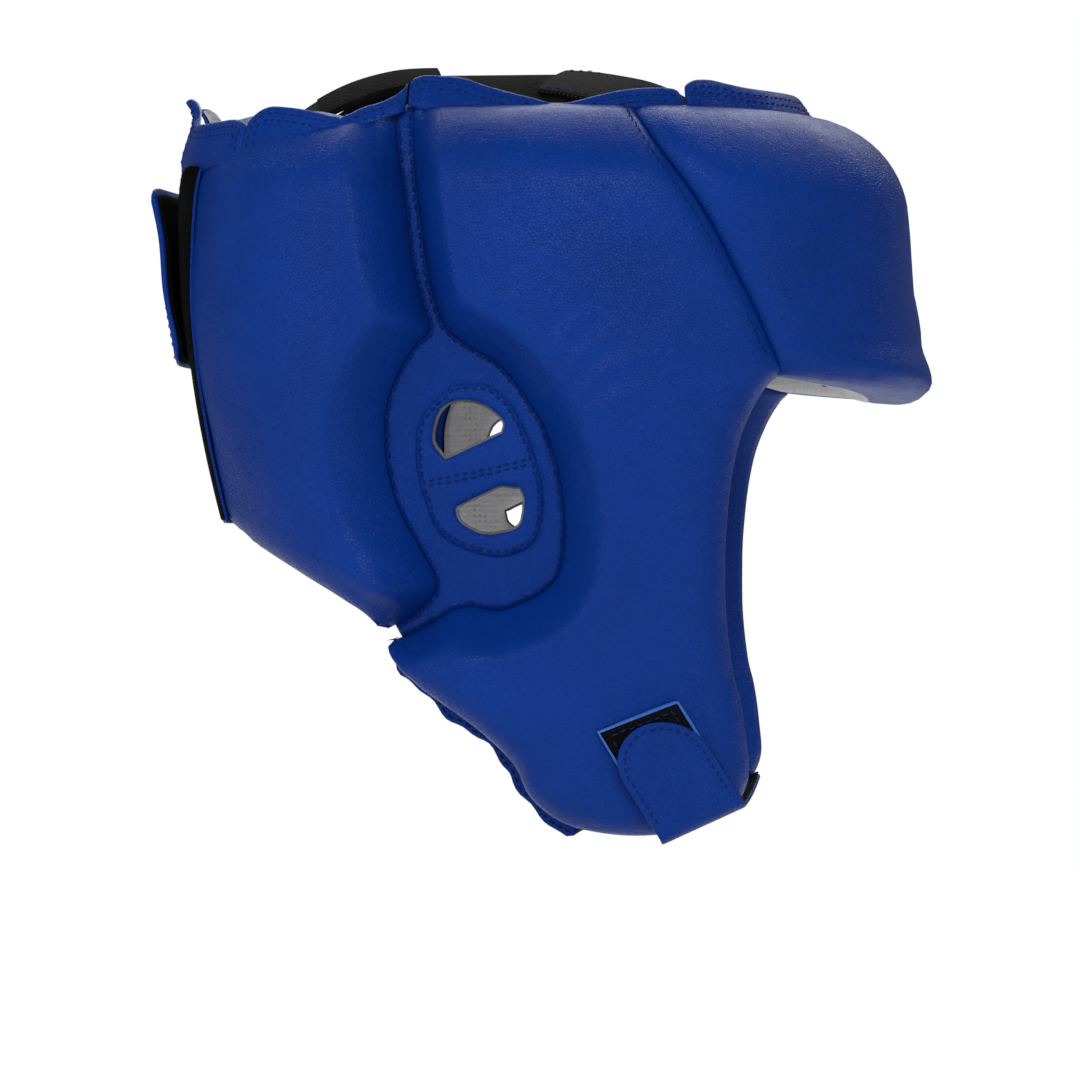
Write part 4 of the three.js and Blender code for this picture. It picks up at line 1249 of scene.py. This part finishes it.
v = np.linspace(0, 1, FLAP_ROWS)
edge = (0.4 + 0.6 * circle_rise(np.minimum(v, 1 - v) / 0.04))[:, None, None]
flap_leather = soft_body("back_flap_leather", flap_face(1.7), flap_face(0.0), edge)
finish_piece(flap_leather, BLUE, "back_flap", ("back_flap",))
outer, inner = (flap_face(out, -1, FLAP_END + 1.5, 2) for out in (-0.2, -1.2))
flap_pile = soft_body("back_flap_tape", outer, inner, edge)
finish_piece(flap_pile, PILE, "back_flap", ("back_flap_hook",))
thread = Thread()
sewn = flap_face(1.65)
for row in (sewn[1, 2:-2], sewn[-2, 2:-2], sewn[2:-2, -3]):
    thread.follow(row, np.tile([-1.0, 0.0, 0.0], (len(row), 1)), radius=0.2)
thread.finish("back_flap_thread", "back_flap")


base_ring = back_ring(-36.6, -64, 36.5, 93.5)
flap_base = thin_piece("back_flap_root", base_ring, over_pad(2.4), 2.0, 2.0, mirror=True)
finish_piece(flap_base, BLUE, "rear_left", ("flap_base",))
thread = Thread()
for depth in (2.0, 4.5):
    thread.on_skin(resample(inset_ring(base_ring, depth), 1.0), over_pad(2.5))
thread.finish("back_flap_root_thread", "rear_left", True)

# ------------------------------------------------------------------ light and floor
WORLD_LIGHT, SEEN_LIGHT, FLOOR_Z = 0.14, 1.0, -0.3


def add_stage():
    bpy.ops.mesh.primitive_circle_add(vertices=96, radius=2.0, fill_type="NGON", location=(0, 0, FLOOR_Z))
    floor = bpy.context.object
    floor.name = "floor"
    mat = bpy.data.materials.new("floor")
    mat.use_nodes = True
    shader = mat.node_tree.nodes["Principled BSDF"]
    shader.inputs["Base Color"].default_value = (0.93, 0.93, 0.93, 1)
    shader.inputs["Roughness"].default_value = 0.9
    floor.data.materials.append(mat)
    world = bpy.data.worlds.new("studio")
    bpy.context.scene.world = world
    world.use_nodes = True
    tree = world.node_tree
    seen, lit = tree.nodes["Background"], tree.nodes.new("ShaderNodeBackground")
    for node, strength in ((seen, SEEN_LIGHT), (lit, WORLD_LIGHT)):
        node.inputs["Color"].default_value = (1, 1, 1, 1)
        node.inputs["Strength"].default_value = strength
    path = tree.nodes.new("ShaderNodeLightPath")
    mix = tree.nodes.new("ShaderNodeMixShader")
    tree.links.new(path.outputs["Is Camera Ray"], mix.inputs[0])
    tree.links.new(lit.outputs[0], mix.inputs[1])
    tree.links.new(seen.outputs[0], mix.inputs[2])
    tree.links.new(mix.outputs[0], tree.nodes["World Output"].inputs[0])


def add_light(name, place, size, power, aim=(0, 0, 0)):
    data = bpy.data.lights.new(name, "AREA")
    data.shape = "RECTANGLE"
    data.size, data.size_y = size
    data.energy = power
    lamp = bpy.data.objects.new(name, data)
    lamp.location = place
    lamp.rotation_euler = (Vector(aim) - Vector(place)).to_track_quat("-Z", "Y").to_euler()
    bpy.context.scene.collection.objects.link(lamp)


LIGHTS = (
    # name, place, size, power
    ("key", (0.4, -1.9, 0.9), (1.0, 0.8), 27),
    ("fill", (-1.6, -1.2, 0.4), (1.2, 1.2), 13),
    ("front", (1.7, -1.3, -0.2), (1.4, 1.4), 12),
    ("strip", (-0.75, -1.5, 0.85), (0.2, 0.7), 7),
    ("rim", (1.2, 1.4, 1.4), (1.0, 1.0), 4),
)
add_stage()
for light in LIGHTS:
    add_light(*light)
add_light("floor_light", (0, 1.6, 1.6), (2.4, 1.6), 60, (0, 1.2, FLOOR_Z))
bpy.context.scene.view_settings.view_transform = "Standard"
